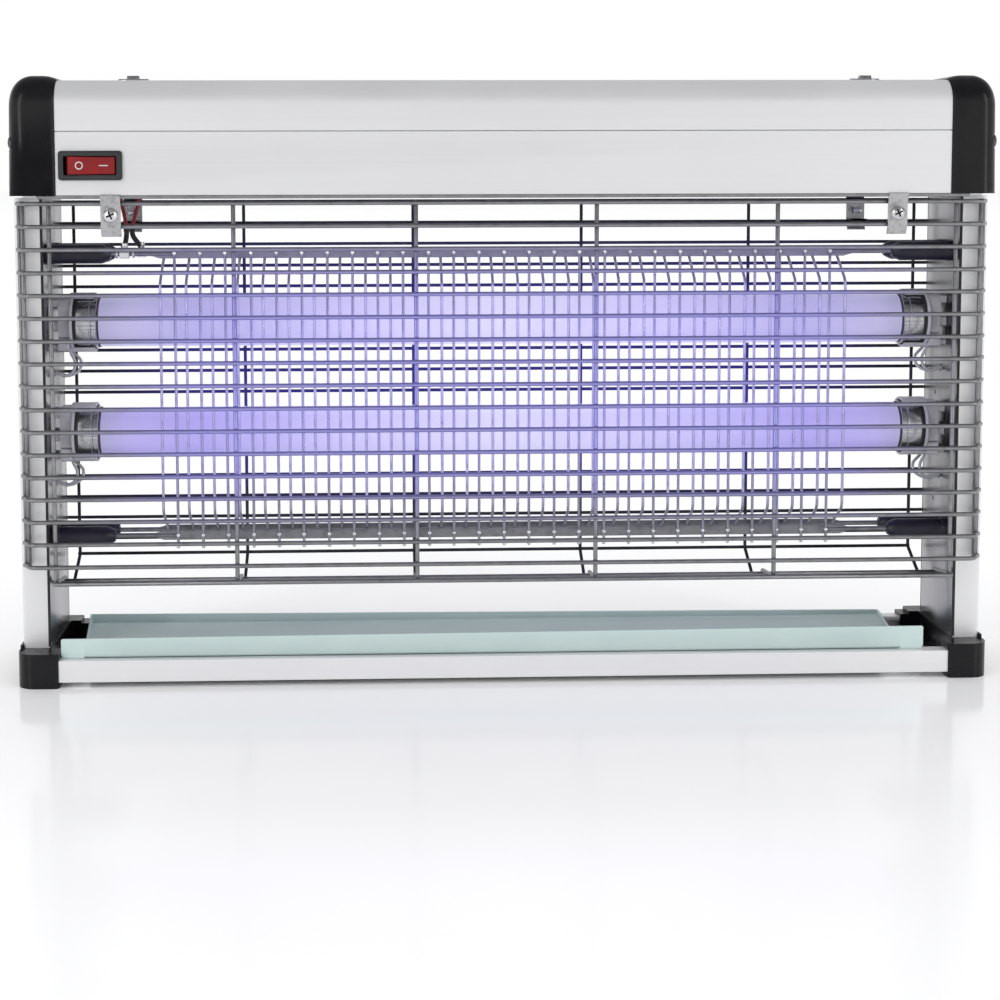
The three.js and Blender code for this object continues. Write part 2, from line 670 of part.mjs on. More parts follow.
function glassTube(z) {
  const end = TUBE_HALF_LENGTH - TUBE_CAP_SHEET - GAP;
  const inner = GLASS_RADIUS - GLASS_WALL;
  const bore = rod('x', inner, -end - PAST, end + PAST, 0, z, 20);
  return rod('x', GLASS_RADIUS, -end, end, 0, z, 20).subtract(bore);
}

function tubeCap(side, z) {
  const end = TUBE_HALF_LENGTH;
  const mouth = end - TUBE_CAP_LENGTH;
  const bore = GLASS_RADIUS + GAP;
  const shell = rod('x', TUBE_CAP_RADIUS, side * mouth, side * end, 0, z, 20)
    .subtract(rod('x', bore, side * (mouth - PAST), side * (end - TUBE_CAP_SHEET), 0, z, 20));
  const pins = SIDES.map((up) => rod(
    'x', PIN_RADIUS, side * (end - 0.5), side * (end + PIN_LENGTH), 0, z + up * PIN_SPACING / 2, 8));
  return join([shell, ...pins]);
}

function lampholder(side, z) {
  const back = LEG_INNER_X - GAP;
  const top = z + HOLDER_HALF_HEIGHT;
  const bottom = z - HOLDER_HALF_HEIGHT;
  const outline = roundedRectangle(-HOLDER_HALF_DEPTH, bottom, HOLDER_HALF_DEPTH, top, 5);
  const body = alongX(outline, side * HOLDER_FACE_X, side * back, 3);
  const mouth = side * (HOLDER_FACE_X - PAST);
  const end = side * (HOLDER_FACE_X + HOLDER_RECESS_DEPTH);
  const recess = rod('x', HOLDER_RECESS_RADIUS, mouth, end, 0, z, 16);
  return body.subtract(recess);
}

// The pair of leads under a lampholder, looped back into the leg, as one bar.
function lampLead(side, z) {
  const top = z - HOLDER_HALF_HEIGHT - 2 * GAP;
  const holeZ = z - LAMP_LEAD_DROP;
  return cable([
    [side * 222, 0, top], [side * 221.8, 0, top - 2], [side * 219.5, 0, top - 6],
    [side * 221, 0, holeZ + 1.5], [side * 226, 0, holeZ], [side * 232.5, 0, holeZ],
  ], LAMP_LEAD_RADIUS, 9);
}

// ---- switch ------------------------------------------------------------------------

function switchBody() {
  const front = -HOUSING_HALF_DEPTH - GAP;
  const bezel = block(
    SWITCH_X - BEZEL_WIDTH / 2, SWITCH_X + BEZEL_WIDTH / 2, front - BEZEL_THICKNESS, front,
    SWITCH_Z - BEZEL_HEIGHT / 2, SWITCH_Z + BEZEL_HEIGHT / 2);
  const body = block(
    SWITCH_X - SWITCH_BODY_WIDTH / 2, SWITCH_X + SWITCH_BODY_WIDTH / 2,
    front - 0.5, front + SWITCH_BODY_DEPTH,
    SWITCH_Z - SWITCH_BODY_HEIGHT / 2, SWITCH_Z + SWITCH_BODY_HEIGHT / 2);
  const well = block(
    SWITCH_X - ROCKER_WELL_WIDTH / 2, SWITCH_X + ROCKER_WELL_WIDTH / 2,
    front - BEZEL_THICKNESS - PAST, front + SWITCH_BODY_DEPTH - 3,
    SWITCH_Z - ROCKER_HEIGHT / 2 - GAP, SWITCH_Z + ROCKER_HEIGHT / 2 + GAP);
  return bezel.add(body).subtract(well);
}

// The rocker's two faces meet in a shallow valley. It is made level about its pivot and
// turned so that its right half lies flush, which is the "on" position.
function rocker() {
  const halfWidth = ROCKER_WIDTH / 2;
  const tilt = THREE.MathUtils.degToRad(ROCKER_TILT);
  const rise = halfWidth * Math.tan(tilt);
  const front = -ROCKER_PIVOT_DEPTH;
  const level = polygon([
    [-halfWidth, front - rise], [0, front], [halfWidth, front - rise],
    [halfWidth, front + 2], [3, 3.4], [-3, 3.4], [-halfWidth, front + 2],
  ]);
  const geometry = extrude(level, ROCKER_HEIGHT, 1);
  geometry.translate(0, 0, -ROCKER_HEIGHT / 2);
  geometry.rotateZ(tilt);
  geometry.translate(SWITCH_X, ROCKER_PIVOT_Y, SWITCH_Z);
  return toSolid(geometry);
}

// ---- guard clips and screws --------------------------------------------------------

function clipPlaces() {
  return SIDES.flatMap((facing) => SIDES.map((side) => ({ side, facing, x: side * CLIP_X })));
}

// A bent strip that presses the guard's top two wires: its top end leans out in front of
// the housing's edge, and its bottom end leans in under the second wire.
function clip({ x, facing }) {
  const secondWireZ = GUARD_TOP_Z - GUARD_PITCH;
  const bent = strip([
    [facing * (CLIP_Y + CLIP_TOP_LEAN), HOUSING_BOTTOM + 1.2], [facing * CLIP_Y, GUARD_TOP_Z - 0.7],
    [facing * CLIP_Y, secondWireZ], [facing * (CLIP_Y - CLIP_BOTTOM_LEAN), secondWireZ - 4.7],
  ], CLIP_SHEET);
  const plate = alongX(bent, x - CLIP_WIDTH / 2, x + CLIP_WIDTH / 2);
  const inner = facing * (CLIP_Y - CLIP_SHEET);
  const outer = facing * (CLIP_Y + CLIP_SHEET);
  return plate.subtract(rod('y', SCREW_HOLE_RADIUS, inner, outer, x, CLIP_SCREW_Z, 8));
}

function clipScrew({ x, facing }) {
  const headBase = CLIP_Y + CLIP_SHEET / 2 + GAP;
  const headTop = headBase + SCREW_HEAD_HEIGHT;
  const head = rod('y', SCREW_HEAD_RADIUS, facing * headBase, facing * headTop, x, CLIP_SCREW_Z);
  const shank = rod('y', SCREW_RADIUS, facing * (LUG_Y - 3.4), facing * (headBase + 0.5), x, CLIP_SCREW_Z, 8);
  return join([head, shank]);
}

// ---- hangers -----------------------------------------------------------------------

// A strap riveted to the cover, with a tunnel along X that the ring turns in.
function hanger(side) {
  const tunnel = RING_WIRE_RADIUS + 0.6;
  const strap = HANGER_STRAP;
  const base = HOUSING_TOP + GAP;
  const outline = new THREE.Shape();
  outline.moveTo(HANGER_FOOT_Y, base);
  outline.lineTo(HANGER_FOOT_Y, base + strap);
  outline.lineTo(tunnel + strap, base + strap);
  outline.absarc(0, RING_AXIS_Z, tunnel + strap, 0, Math.PI);
  outline.lineTo(-tunnel - strap, base + strap);
  outline.lineTo(-HANGER_FOOT_Y, base + strap);
  outline.lineTo(-HANGER_FOOT_Y, base);
  outline.lineTo(-tunnel, base);
  outline.absarc(0, RING_AXIS_Z, tunnel, Math.PI, 0, true);
  outline.lineTo(tunnel, base);
  outline.closePath();
  const x = side * HANGER_X;
  return alongX(outline, x - HANGER_WIDTH / 2, x + HANGER_WIDTH / 2, 6);
}

// A D-shaped ring that lies flat behind the strap.
function hangerRing(side) {
  const x = side * HANGER_X;
  const bar = rod('x', RING_WIRE_RADIUS, x - RING_RADIUS - 0.6, x + RING_RADIUS + 0.6, 0, RING_AXIS_Z, 6);
  const section = new THREE.Shape();
  section.absarc(0, 0, RING_WIRE_RADIUS, 0, 2 * Math.PI);
  const bow = new THREE.CatmullRomCurve3(Array.from({ length: RING_STEPS + 1 }, (_, i) => {
    const angle = Math.PI * i / RING_STEPS;
    return new THREE.Vector3(x + RING_RADIUS * Math.cos(angle), RING_RADIUS * Math.sin(angle), RING_AXIS_Z);
  }));
  const options = { steps: RING_STEPS, bevelEnabled: false, extrudePath: bow, curveSegments: 3 };
  return bar.add(toSolid(new THREE.ExtrudeGeometry(section, options)));
}

// ---- electrics ---------------------------------------------------------------------

// A bushing in the rear wall for the mains lead.
function powerGland() {
  const wallFront = HOUSING_HALF_DEPTH - SHEET;
  const flange = HOUSING_HALF_DEPTH + GAP;
  const collarEnd = flange + GLAND_COLLAR_THICKNESS;
  const root = wallFront - 3;
  const sleeve = rod('y', GLAND_SLEEVE, root, collarEnd, GLAND_X, GLAND_Z);
  const collar = rod('y', GLAND_COLLAR, flange, collarEnd, GLAND_X, GLAND_Z);
  const nose = rod('y', GLAND_NOSE, flange, GLAND_END_Y, GLAND_X, GLAND_Z);
  const bore = rod('y', GLAND_BORE, root - PAST, GLAND_END_Y + PAST, GLAND_X, GLAND_Z);
  return join([sleeve, collar, nose]).subtract(bore);
}

// A canned component on the housing floor, with a mounting flange at each end.
function canned({ x, length, width, height, flange }) {
  const floor = HOUSING_BOTTOM + SHEET + GAP;
  const reach = length / 2 + flange;
  const footHalf = width / 2 - 3;
  const can = block(x - length / 2, x + length / 2, -width / 2, width / 2, floor, floor + height);
  const feet = block(x - reach, x + reach, -footHalf, footHalf, floor, floor + SHEET);
  return can.add(feet);
}

// A lead from inside the housing down to a crimped sleeve round the grid rail's rod.
function hvLead({ floorX, tieX, rodX, railY }) {
  const tieY = (HV_FLOOR_Y + railY) / 2;
  const lead = cable([
    [floorX, HV_FLOOR_Y, HOUSING_BOTTOM + 8], [floorX, HV_FLOOR_Y, HOUSING_BOTTOM - 2],
    [tieX, (HV_FLOOR_Y + tieY) / 2, HV_TIE_Z + 5], [tieX, tieY, HV_TIE_Z], [rodX, railY, GRID_TOP_Z + 3],
  ], HV_LEAD_RADIUS, 10);
  const left = rodX - CRIMP_HALF;
  const right = rodX + CRIMP_HALF;
  const crimp = block(
    left, right, railY - CRIMP_HALF, railY + CRIMP_HALF, GRID_TOP_Z - CRIMP_HALF, GRID_TOP_Z + CRIMP_NECK);
  const bore = rod('x', GRID_ROD / 2 + GAP, left - PAST, right + PAST, railY, GRID_TOP_Z, 8);
  return lead.add(crimp).subtract(bore);
}

// ---- putting it together -----------------------------------------------------------

place('housing_cover', housingCover(), silverAluminium);
place('housing_base', housingBase(), silverAluminium);
place('bottom_rail_front', bottomRail(-1), silverAluminium);
place('bottom_rail_rear', bottomRail(1), silverAluminium);
place('tray', tray(), trayGreen);
place('guard_front', guard(-1, FRONT_LIP), galvanisedWire);
place('guard_rear', guard(1, REAR_LIP), galvanisedWire);
place('electrode_straight', straightElectrode(), gridSteel);
place('electrode_hooked', hookedElectrode(), gridSteel);
place('switch_body', switchBody(), blackPlastic);
place('switch_rocker', rocker(), switchRed);
place('power_gland', powerGland(), blackPlastic);
place('ballast', canned(BALLAST), steelCan);
place('hv_transformer', canned(HV_TRANSFORMER), steelCan);

for (const side of SIDES) {
  const hand = sideName(side);
  place(`end_cap_${hand}`, endCap(side), blackPlastic);
  place(`leg_${hand}`, leg(side), silverAluminium);
  place(`foot_${hand}`, foot(side), blackPlastic);
  place(`hanger_${hand}`, hanger(side), zinc);
  place(`hanger_ring_${hand}`, hangerRing(side), chrome);
  for (const [level, z] of [['top', GRID_TOP_Z], ['bottom', GRID_BOTTOM_Z]]) {
    for (const [face, y] of [['front', FRONT_RAIL_Y], ['rear', REAR_RAIL_Y]]) {
      place(`insulator_${face}_${level}_${hand}`, insulator(side, y, z), blackPlastic);
    }
  }
}

['upper', 'lower'].forEach((level, i) => {
  const z = TUBE_Z[i];
  place(`tube_${level}_glass`, glassTube(z), tubeGlass);
  for (const side of SIDES) {
    const hand = sideName(side);
    place(`tube_${level}_cap_${hand}`, tubeCap(side, z), chrome);
    place(`lampholder_${level}_${hand}`, lampholder(side, z), holderWhite);
    place(`lamp_lead_${level}_${hand}`, lampLead(side, z), leadWhite);
  }
});

for (const spot of clipPlaces()) {
  const face = spot.facing < 0 ? 'front' : 'rear';
  const hand = sideName(spot.side);
  place(`guard_clip_${face}_${hand}`, clip(spot), zinc);
  place(`clip_screw_${face}_${hand}`, clipScrew(spot), chrome);
}

for (const spot of capScrewPlaces()) {
  const face = spot.facing < 0 ? 'front' : 'rear';
  place(`cap_screw_${face}_${sideName(spot.side)}`, capScrew(spot), chrome);
}

for (const lead of HV_LEADS) {
  place(lead.name, hvLead(lead), leadRed);
}

export default zapper;
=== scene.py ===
"""Looks of the electric bug zapper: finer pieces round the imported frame, their materials, the
studio and the camera. Metres, +Z up, front towards -Y, origin on the ground."""

import math
import random

import bmesh
import bpy
from mathutils import Euler, Matrix, Vector


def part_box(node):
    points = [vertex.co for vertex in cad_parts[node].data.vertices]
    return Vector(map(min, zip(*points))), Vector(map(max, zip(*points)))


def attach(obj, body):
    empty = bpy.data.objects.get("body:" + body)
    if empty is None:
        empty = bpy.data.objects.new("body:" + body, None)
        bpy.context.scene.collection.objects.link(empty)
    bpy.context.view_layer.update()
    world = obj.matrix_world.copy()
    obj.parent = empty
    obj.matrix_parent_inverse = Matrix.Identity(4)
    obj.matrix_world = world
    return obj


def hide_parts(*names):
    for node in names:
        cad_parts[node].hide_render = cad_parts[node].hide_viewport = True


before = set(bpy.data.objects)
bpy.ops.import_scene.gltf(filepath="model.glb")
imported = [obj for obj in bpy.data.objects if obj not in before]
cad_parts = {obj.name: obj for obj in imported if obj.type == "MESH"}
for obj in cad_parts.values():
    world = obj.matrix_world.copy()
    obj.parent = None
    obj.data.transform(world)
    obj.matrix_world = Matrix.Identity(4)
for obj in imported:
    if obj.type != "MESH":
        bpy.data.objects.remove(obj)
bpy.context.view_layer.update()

MM = 0.001
SIDES = (("left", -1), ("right", 1))
FACES = (("front", -1), ("rear", 1))
LEVELS = ("upper", "lower")
X, Y, Z = Vector((1, 0, 0)), Vector((0, 1, 0)), Vector((0, 0, 1))

# ---- dimensions that the frame's boxes don't give --------------------------------------------

GAP = 0.3 * MM
SHEET = 1.2 * MM
SHOULDER_RADIUS = 12 * MM
SEAM_LIP = 0.5 * MM

CAP_TOP_CORNER = 11 * MM
CAP_PLAN_CORNER = 9 * MM
CAP_RIM_ROLL = 7 * MM
CAP_RIM_DROP = 1.7 * MM
CAP_POCKET = 16.3 * MM
CAP_DRAFT = 1.0 * MM

FOOT_CORNER = 9 * MM
FOOT_LIP = 1.8 * MM
RAIL_SLEEVE = 4 * MM

TRAY_SHEET = 0.9 * MM
TRAY_BODY_INSET = (12 * MM, 4 * MM)  # each side, at the front and at the back
TRAY_BACK_WALL = 4.8 * MM
TRAY_BACK_SINK = 2.2 * MM  # how much lower the back wall is at its right end
TRAY_FRONT_RISE = 1.8 * MM  # how much higher the front wall is at its right end

GUARD_WIRE = {"front": 1.1 * MM, "rear": 0.86 * MM}  # radius
GUARD_ROWS = 17
GUARD_TOP_INSET = 1.4 * MM
GUARD_PITCH = 11.26 * MM
GUARD_Y = 39 * MM
GUARD_UPRIGHT_Y = 37.4 * MM
GUARD_UPRIGHTS = [x * MM for x in (-224.7, -134.8, -44.9, 44.9, 134.8, 224.7)]
GUARD_BEND = (236.5 * MM, 39 * MM)
GUARD_END = (241.3 * MM, 31 * MM)
GUARD_EDGE_Z = 52 * MM
GUARD_EDGE_HALF = 226 * MM
GUARD_LIPS = {"front": (27 * MM, 2.5 * MM), "rear": (24 * MM, 12 * MM)}  # run inwards, drop

GRID_WIRE = 0.72 * MM  # radius
GRID_PITCH = 12.75 * MM
GRID_RAIL_HALF = 173 * MM
GRID_RAIL_HEIGHT = 4.8 * MM
GRID_RAIL_THICKNESS = 1.4 * MM
GRID_RAIL_SLANT = 6 * MM
GRID_ROD = 1.2 * MM  # radius
HOOK_BENDS = (201 * MM, 85 * MM)

TUBE_CAP_LENGTH = 12.4 * MM
PIN_LENGTH = 6.6 * MM
PIN_SPACING = 12.7 * MM
LAMP_LEAD_DROP = 26 * MM

CLIP_SHEET = 1.0 * MM
HANGER_STRAP = 1.0 * MM

# ---- procedural materials ----------------------------------------------------------------------


def bare_look(name):
    """A new material, its nodes and links, and its shader."""
    look = bpy.data.materials.new(name)
    look.use_nodes = True
    nodes, links = look.node_tree.nodes, look.node_tree.links
    return look, nodes, links, nodes["Principled BSDF"]


def stretched(nodes, links, stretch):
    """Object coordinates, in metres, scaled along each axis."""
    where = nodes.new("ShaderNodeTexCoord")
    scaled = nodes.new("ShaderNodeMapping")
    scaled.inputs["Scale"].default_value = stretch
    links.new(where.outputs["Object"], scaled.inputs["Vector"])
    return scaled.outputs["Vector"]


def noise(nodes, links, vector, scale, detail=5.0, roughness=0.6):
    texture = nodes.new("ShaderNodeTexNoise")
    texture.inputs["Scale"].default_value = scale
    texture.inputs["Detail"].default_value = detail
    texture.inputs["Roughness"].default_value = roughness
    links.new(vector, texture.inputs["Vector"])
    return texture.outputs["Fac"]


def ramp(nodes, links, factor, stops):
    """Colour that runs through (position, colour) stops as the factor rises."""
    node = nodes.new("ShaderNodeValToRGB")
    elements = node.color_ramp.elements
    while len(elements) < len(stops):
        elements.new(0.5)
    for element, (position, colour) in zip(elements, stops):
        element.position = position
        element.color = (*colour, 1)
    links.new(factor, node.inputs["Fac"])
    return node.outputs["Color"]


def spread(nodes, links, factor, low, high):
    """A number that runs from low to high as the factor goes from 0.3 to 0.7."""
    node = nodes.new("ShaderNodeMapRange")
    node.inputs["From Min"].default_value = 0.3
    node.inputs["From Max"].default_value = 0.7
    node.inputs["To Min"].default_value = low
    node.inputs["To Max"].default_value = high
    links.new(factor, node.inputs["Value"])
    return node.outputs["Result"]


def relief(nodes, links, height, distance, strength=1.0, under=None):
    """A bump of that many metres, on top of another one if it is given."""
    node = nodes.new("ShaderNodeBump")
    node.inputs["Distance"].default_value = distance
    node.inputs["Strength"].default_value = strength
    links.new(height, node.inputs["Height"])
    if under is not None:
        links.new(under, node.inputs["Normal"])
    return node.outputs["Normal"]


def mixed(nodes, links, factor, first, second):
    node = nodes.new("ShaderNodeMix")
    node.data_type = "RGBA"
    links.new(factor, node.inputs["Factor"])
    for socket, value in ((6, first), (7, second)):
        if isinstance(value, tuple):
            node.inputs[socket].default_value = (*value, 1)
        else:
            links.new(value, node.inputs[socket])
    return node.outputs[2]


def edge_wear(nodes, links, low=0.52, high=0.62):
    """Rises from 0 to 1 on convex edges."""
    geometry = nodes.new("ShaderNodeNewGeometry")
    node = nodes.new("ShaderNodeMapRange")
    node.inputs["From Min"].default_value = low
    node.inputs["From Max"].default_value = high
    links.new(geometry.outputs["Pointiness"], node.inputs["Value"])
    return node.outputs["Result"]


def aluminium(name, dark, light, grain, roughness, metallic=0.55, relief_depth=0.004 * MM):
    """Satin anodised aluminium with drawing lines along the grain."""
    look, nodes, links, shader = bare_look(name)
    lines = noise(nodes, links, stretched(nodes, links, grain), 1.0, 6.0, 0.7)
    clouds = noise(nodes, links, stretched(nodes, links, (1, 1, 1)), 18.0, 3.0)
    streaked = ramp(nodes, links, lines, [(0.3, dark), (0.7, light)])
    worn = mixed(nodes, links, edge_wear(nodes, links), streaked, tuple(min(1, c * 1.12) for c in light))
    links.new(worn, shader.inputs["Base Color"])
    links.new(spread(nodes, links, clouds, roughness - 0.05, roughness + 0.06), shader.inputs["Roughness"])
    fine = noise(nodes, links, stretched(nodes, links, (1, 1, 1)), 2600.0, 2.0)
    base = relief(nodes, links, fine, 0.006 * MM, 0.5)
    links.new(relief(nodes, links, lines, relief_depth, 0.6, base), shader.inputs["Normal"])
    shader.inputs["Metallic"].default_value = metallic
    return look


def moulded(name, dark, light, roughness, specular=0.4, grain=900.0, depth=0.01 * MM, scatter=0.0):
    """Moulded plastic: faint flow marks, fine pebbling and worn gloss."""
    look, nodes, links, shader = bare_look(name)
    vector = stretched(nodes, links, (1, 1, 1))
    flow = noise(nodes, links, vector, 35.0, 4.0)
    links.new(ramp(nodes, links, flow, [(0.35, dark), (0.68, light)]), shader.inputs["Base Color"])
    smears = noise(nodes, links, stretched(nodes, links, (1, 1, 0.35)), 90.0, 5.0)
    links.new(spread(nodes, links, smears, roughness - 0.04, roughness + 0.07), shader.inputs["Roughness"])
    pebbles = noise(nodes, links, vector, grain, 2.0)
    waves = noise(nodes, links, vector, 60.0, 2.0)
    links.new(relief(nodes, links, pebbles, depth, 0.6, relief(nodes, links, waves, 0.04 * MM, 0.25)),
              shader.inputs["Normal"])
    shader.inputs["Specular IOR Level"].default_value = specular
    shader.inputs["Subsurface Weight"].default_value = scatter
    shader.inputs["Subsurface Radius"].default_value = (0.003, 0.003, 0.003)
    return look


def plated(name, dark, light, roughness, metallic=0.9, spangle=220.0, painted_glow_colour=None):
    """Plated steel: crystalline spangle, dull patches and, near the tubes, their violet light painted into the base
    colour.
    """
    look, nodes, links, shader = bare_look(name)
    vector = stretched(nodes, links, (1, 1, 1))
    cells = nodes.new("ShaderNodeTexVoronoi")
    cells.inputs["Scale"].default_value = spangle
    links.new(vector, cells.inputs["Vector"])
    dull = noise(nodes, links, vector, 120.0, 5.0)
    patches = nodes.new("ShaderNodeMath")
    patches.operation = "MULTIPLY_ADD"
    patches.inputs[1].default_value = 0.35
    links.new(cells.outputs["Distance"], patches.inputs[0])
    links.new(dull, patches.inputs[2])
    colour = ramp(nodes, links, patches.outputs["Value"], [(0.4, dark), (0.75, light)])
    # Painted light: the tubes' violet glow mixed into the base colour near them.
    if painted_glow_colour:
        colour = mixed(nodes, links, tube_glow_mask(nodes, links), colour, painted_glow_colour)
    links.new(colour, shader.inputs["Base Color"])
    links.new(spread(nodes, links, dull, roughness - 0.07, roughness + 0.1), shader.inputs["Roughness"])
    pits = noise(nodes, links, vector, 1800.0, 3.0)
    links.new(relief(nodes, links, pits, 0.012 * MM, 0.5), shader.inputs["Normal"])
    shader.inputs["Metallic"].default_value = metallic
    return look


def tube_glow_mask(nodes, links):
    """Rises from 0 to 1 towards the space that the two tubes light: the mask of the painted tube glow."""
    upper, lower = tube_middle("upper"), tube_middle("lower")
    where = nodes.new("ShaderNodeTexCoord")
    parts = nodes.new("ShaderNodeSeparateXYZ")
    links.new(where.outputs["Object"], parts.inputs["Vector"])
    fades = []
    for axis, middle, inside, outside in (
        ("X", 0.0, 150 * MM, 225 * MM),
        ("Z", (upper.z + lower.z) / 2, 36 * MM, 82 * MM),
    ):
        offset = nodes.new("ShaderNodeMath")
        offset.operation = "SUBTRACT"
        offset.inputs[1].default_value = middle
        links.new(parts.outputs[axis], offset.inputs[0])
        distance = nodes.new("ShaderNodeMath")
        distance.operation = "ABSOLUTE"
        links.new(offset.outputs["Value"], distance.inputs[0])
        fade = nodes.new("ShaderNodeMapRange")
        fade.interpolation_type = "SMOOTHSTEP"
        fade.inputs["From Min"].default_value = inside
        fade.inputs["From Max"].default_value = outside
        fade.inputs["To Min"].default_value = 1.0
        fade.inputs["To Max"].default_value = 0.0
        links.new(distance.outputs["Value"], fade.inputs["Value"])
        fades.append(fade.outputs["Result"])
    both = nodes.new("ShaderNodeMath")
    both.operation = "MULTIPLY"
    links.new(fades[0], both.inputs[0])
    links.new(fades[1], both.inputs[1])
    return both.outputs["Value"]


def painted_sheet(name, dark, light):
    """Powder-coated sheet: orange peel, faint dust and rubbed edges."""
    look, nodes, links, shader = bare_look(name)
    vector = stretched(nodes, links, (1, 1, 1))
    dust = noise(nodes, links, stretched(nodes, links, (0.5, 1.4, 1)), 40.0, 6.0)
    coat = ramp(nodes, links, dust, [(0.32, dark), (0.7, light)])
    rubbed = mixed(nodes, links, edge_wear(nodes, links), coat, tuple(min(1, c * 1.15) for c in light))
    links.new(rubbed, shader.inputs["Base Color"])
    links.new(spread(nodes, links, dust, 0.38, 0.52), shader.inputs["Roughness"])
    peel = noise(nodes, links, vector, 700.0, 2.0)
    links.new(relief(nodes, links, peel, 0.02 * MM, 0.5), shader.inputs["Normal"])
    shader.inputs["Specular IOR Level"].default_value = 0.4
    return look


def lit_glass(name, wing, end):
    """A lit tube: lavender glow behind gloss, pale in the middle, then its wing and end colours."""
    look, nodes, links, shader = bare_look(name)
    where = nodes.new("ShaderNodeTexCoord")
    parts = nodes.new("ShaderNodeSeparateXYZ")
    links.new(where.outputs["Object"], parts.inputs["Vector"])
    distance = nodes.new("ShaderNodeMath")
    distance.operation = "ABSOLUTE"
    links.new(parts.outputs["X"], distance.inputs[0])
    share = nodes.new("ShaderNodeMapRange")
    share.inputs["From Max"].default_value = 0.2165
    links.new(distance.outputs["Value"], share.inputs["Value"])
    clouds = noise(nodes, links, stretched(nodes, links, (0.3, 1, 1)), 30.0, 3.0)
    wavering = nodes.new("ShaderNodeMath")
    wavering.operation = "MULTIPLY_ADD"
    wavering.inputs[1].default_value = 0.06
    links.new(clouds, wavering.inputs[0])
    links.new(share.outputs["Result"], wavering.inputs[2])
    glow = ramp(nodes, links, wavering.outputs["Value"], [
        (0.03, (0.76, 0.74, 1.0)),
        (0.4, (0.62, 0.58, 0.97)),
        (0.75, wing),
        (0.92, end),
        (1.0, (0.3, 0.3, 0.46)),
    ])
    links.new(glow, shader.inputs["Emission Color"])
    shader.inputs["Emission Strength"].default_value = 0.82
    links.new(ramp(nodes, links, clouds, [(0.3, (0.16, 0.15, 0.24)), (0.7, (0.2, 0.18, 0.3))]),
              shader.inputs["Base Color"])
    links.new(spread(nodes, links, clouds, 0.1, 0.2), shader.inputs["Roughness"])
    shader.inputs["Coat Weight"].default_value = 0.6
    shader.inputs["Coat Roughness"].default_value = 0.05
    return look


def tube_middle(level):
    lo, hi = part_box(f"tube_{level}_glass")
    return (lo + hi) / 2


HOUSING = aluminium("housing aluminium", (0.67, 0.67, 0.68), (0.71, 0.71, 0.72), (3, 1400, 1400), 0.42)
RAIL = aluminium("rail aluminium", (0.76, 0.76, 0.775), (0.8, 0.8, 0.81), (3, 1400, 1400), 0.42)
LEG = aluminium("leg aluminium", (0.65, 0.65, 0.665), (0.7, 0.7, 0.71), (900, 900, 3), 0.42)
# The legs' inner walls: the same aluminium, glossier, with their shade painted in as a dark base colour.
LEG_WALL_SHADED = aluminium("leg wall aluminium in painted shade", (0.09, 0.09, 0.1), (0.24, 0.24, 0.26), (22, 22, 9), 0.24, 0.95)
BLACK = moulded("black plastic", (0.004, 0.004, 0.005), (0.009, 0.009, 0.01), 0.24, 0.22)
DARK_FRAME = moulded("switch frame plastic", (0.02, 0.022, 0.024), (0.034, 0.037, 0.04), 0.4, 0.35)
# Dark plastic with a violet tint that is painted tube light.
INSULATOR_GLOW_TINTED = moulded("insulator plastic with painted violet glow", (0.008, 0.007, 0.016), (0.016, 0.014, 0.034), 0.3, 0.4)
# White plastic drawn violet-grey: painted tube light and shade.
HOLDER_GLOW_TINTED = moulded("lampholder plastic with painted tube light and shade", (0.5, 0.49, 0.54), (0.62, 0.61, 0.66), 0.4, 0.4, scatter=0.08)
RED = moulded("rocker plastic", (0.19, 0.005, 0.007), (0.28, 0.01, 0.012), 0.25, 0.3, scatter=0.1)
MARK = moulded("mark paint", (0.62, 0.6, 0.6), (0.78, 0.76, 0.76), 0.45)
RED_LEAD = moulded("red lead", (0.16, 0.012, 0.016), (0.3, 0.02, 0.026), 0.4)
WHITE_LEAD = moulded("white lead", (0.48, 0.48, 0.52), (0.6, 0.6, 0.64), 0.42)
SLEEVE = moulded("black sleeve", (0.01, 0.01, 0.012), (0.022, 0.022, 0.026), 0.45)
TRAY = painted_sheet("tray paint", (0.45, 0.56, 0.545), (0.52, 0.635, 0.615))
# These wires and rails have the tubes' violet light painted into their base colour near the tubes.
GUARD_FRONT = plated("front guard wire", (0.2, 0.2, 0.205), (0.27, 0.27, 0.28), 0.36, painted_glow_colour=(0.33, 0.31, 0.68))
# The rear guard is the same wire as the front, drawn much darker as painted shade.
GUARD_REAR_SHADED = plated("rear guard wire in painted shade", (0.03, 0.03, 0.036), (0.06, 0.06, 0.07), 0.5, painted_glow_colour=(0.07, 0.06, 0.33))
GRID = plated("grid wire", (0.34, 0.335, 0.38), (0.48, 0.47, 0.53), 0.3, painted_glow_colour=(0.52, 0.49, 0.84))
GRID_RAIL = plated("grid rail", (0.15, 0.15, 0.16), (0.24, 0.24, 0.26), 0.34, painted_glow_colour=(0.3, 0.28, 0.56))
# Weld beads drawn much brighter than the grid wire: painted glints.
WELD_GLINT = plated("weld metal with painted glint", (0.6, 0.6, 0.63), (0.85, 0.85, 0.88), 0.25, spangle=90.0)
ZINC = plated("zinc sheet", (0.26, 0.26, 0.265), (0.46, 0.46, 0.47), 0.3, spangle=420.0)
# A darker copy of the zinc, for the tabs and cap screws: painted shade.
ZINC_SHADED = plated("zinc in painted shade", (0.07, 0.07, 0.072), (0.15, 0.15, 0.155), 0.36, spangle=420.0)
CHROME = plated("bright plating", (0.42, 0.42, 0.44), (0.66, 0.66, 0.68), 0.14, spangle=90.0)
CAP_METAL = plated("tube cap metal", (0.44, 0.44, 0.47), (0.5, 0.5, 0.53), 0.19, 0.98, spangle=20.0)
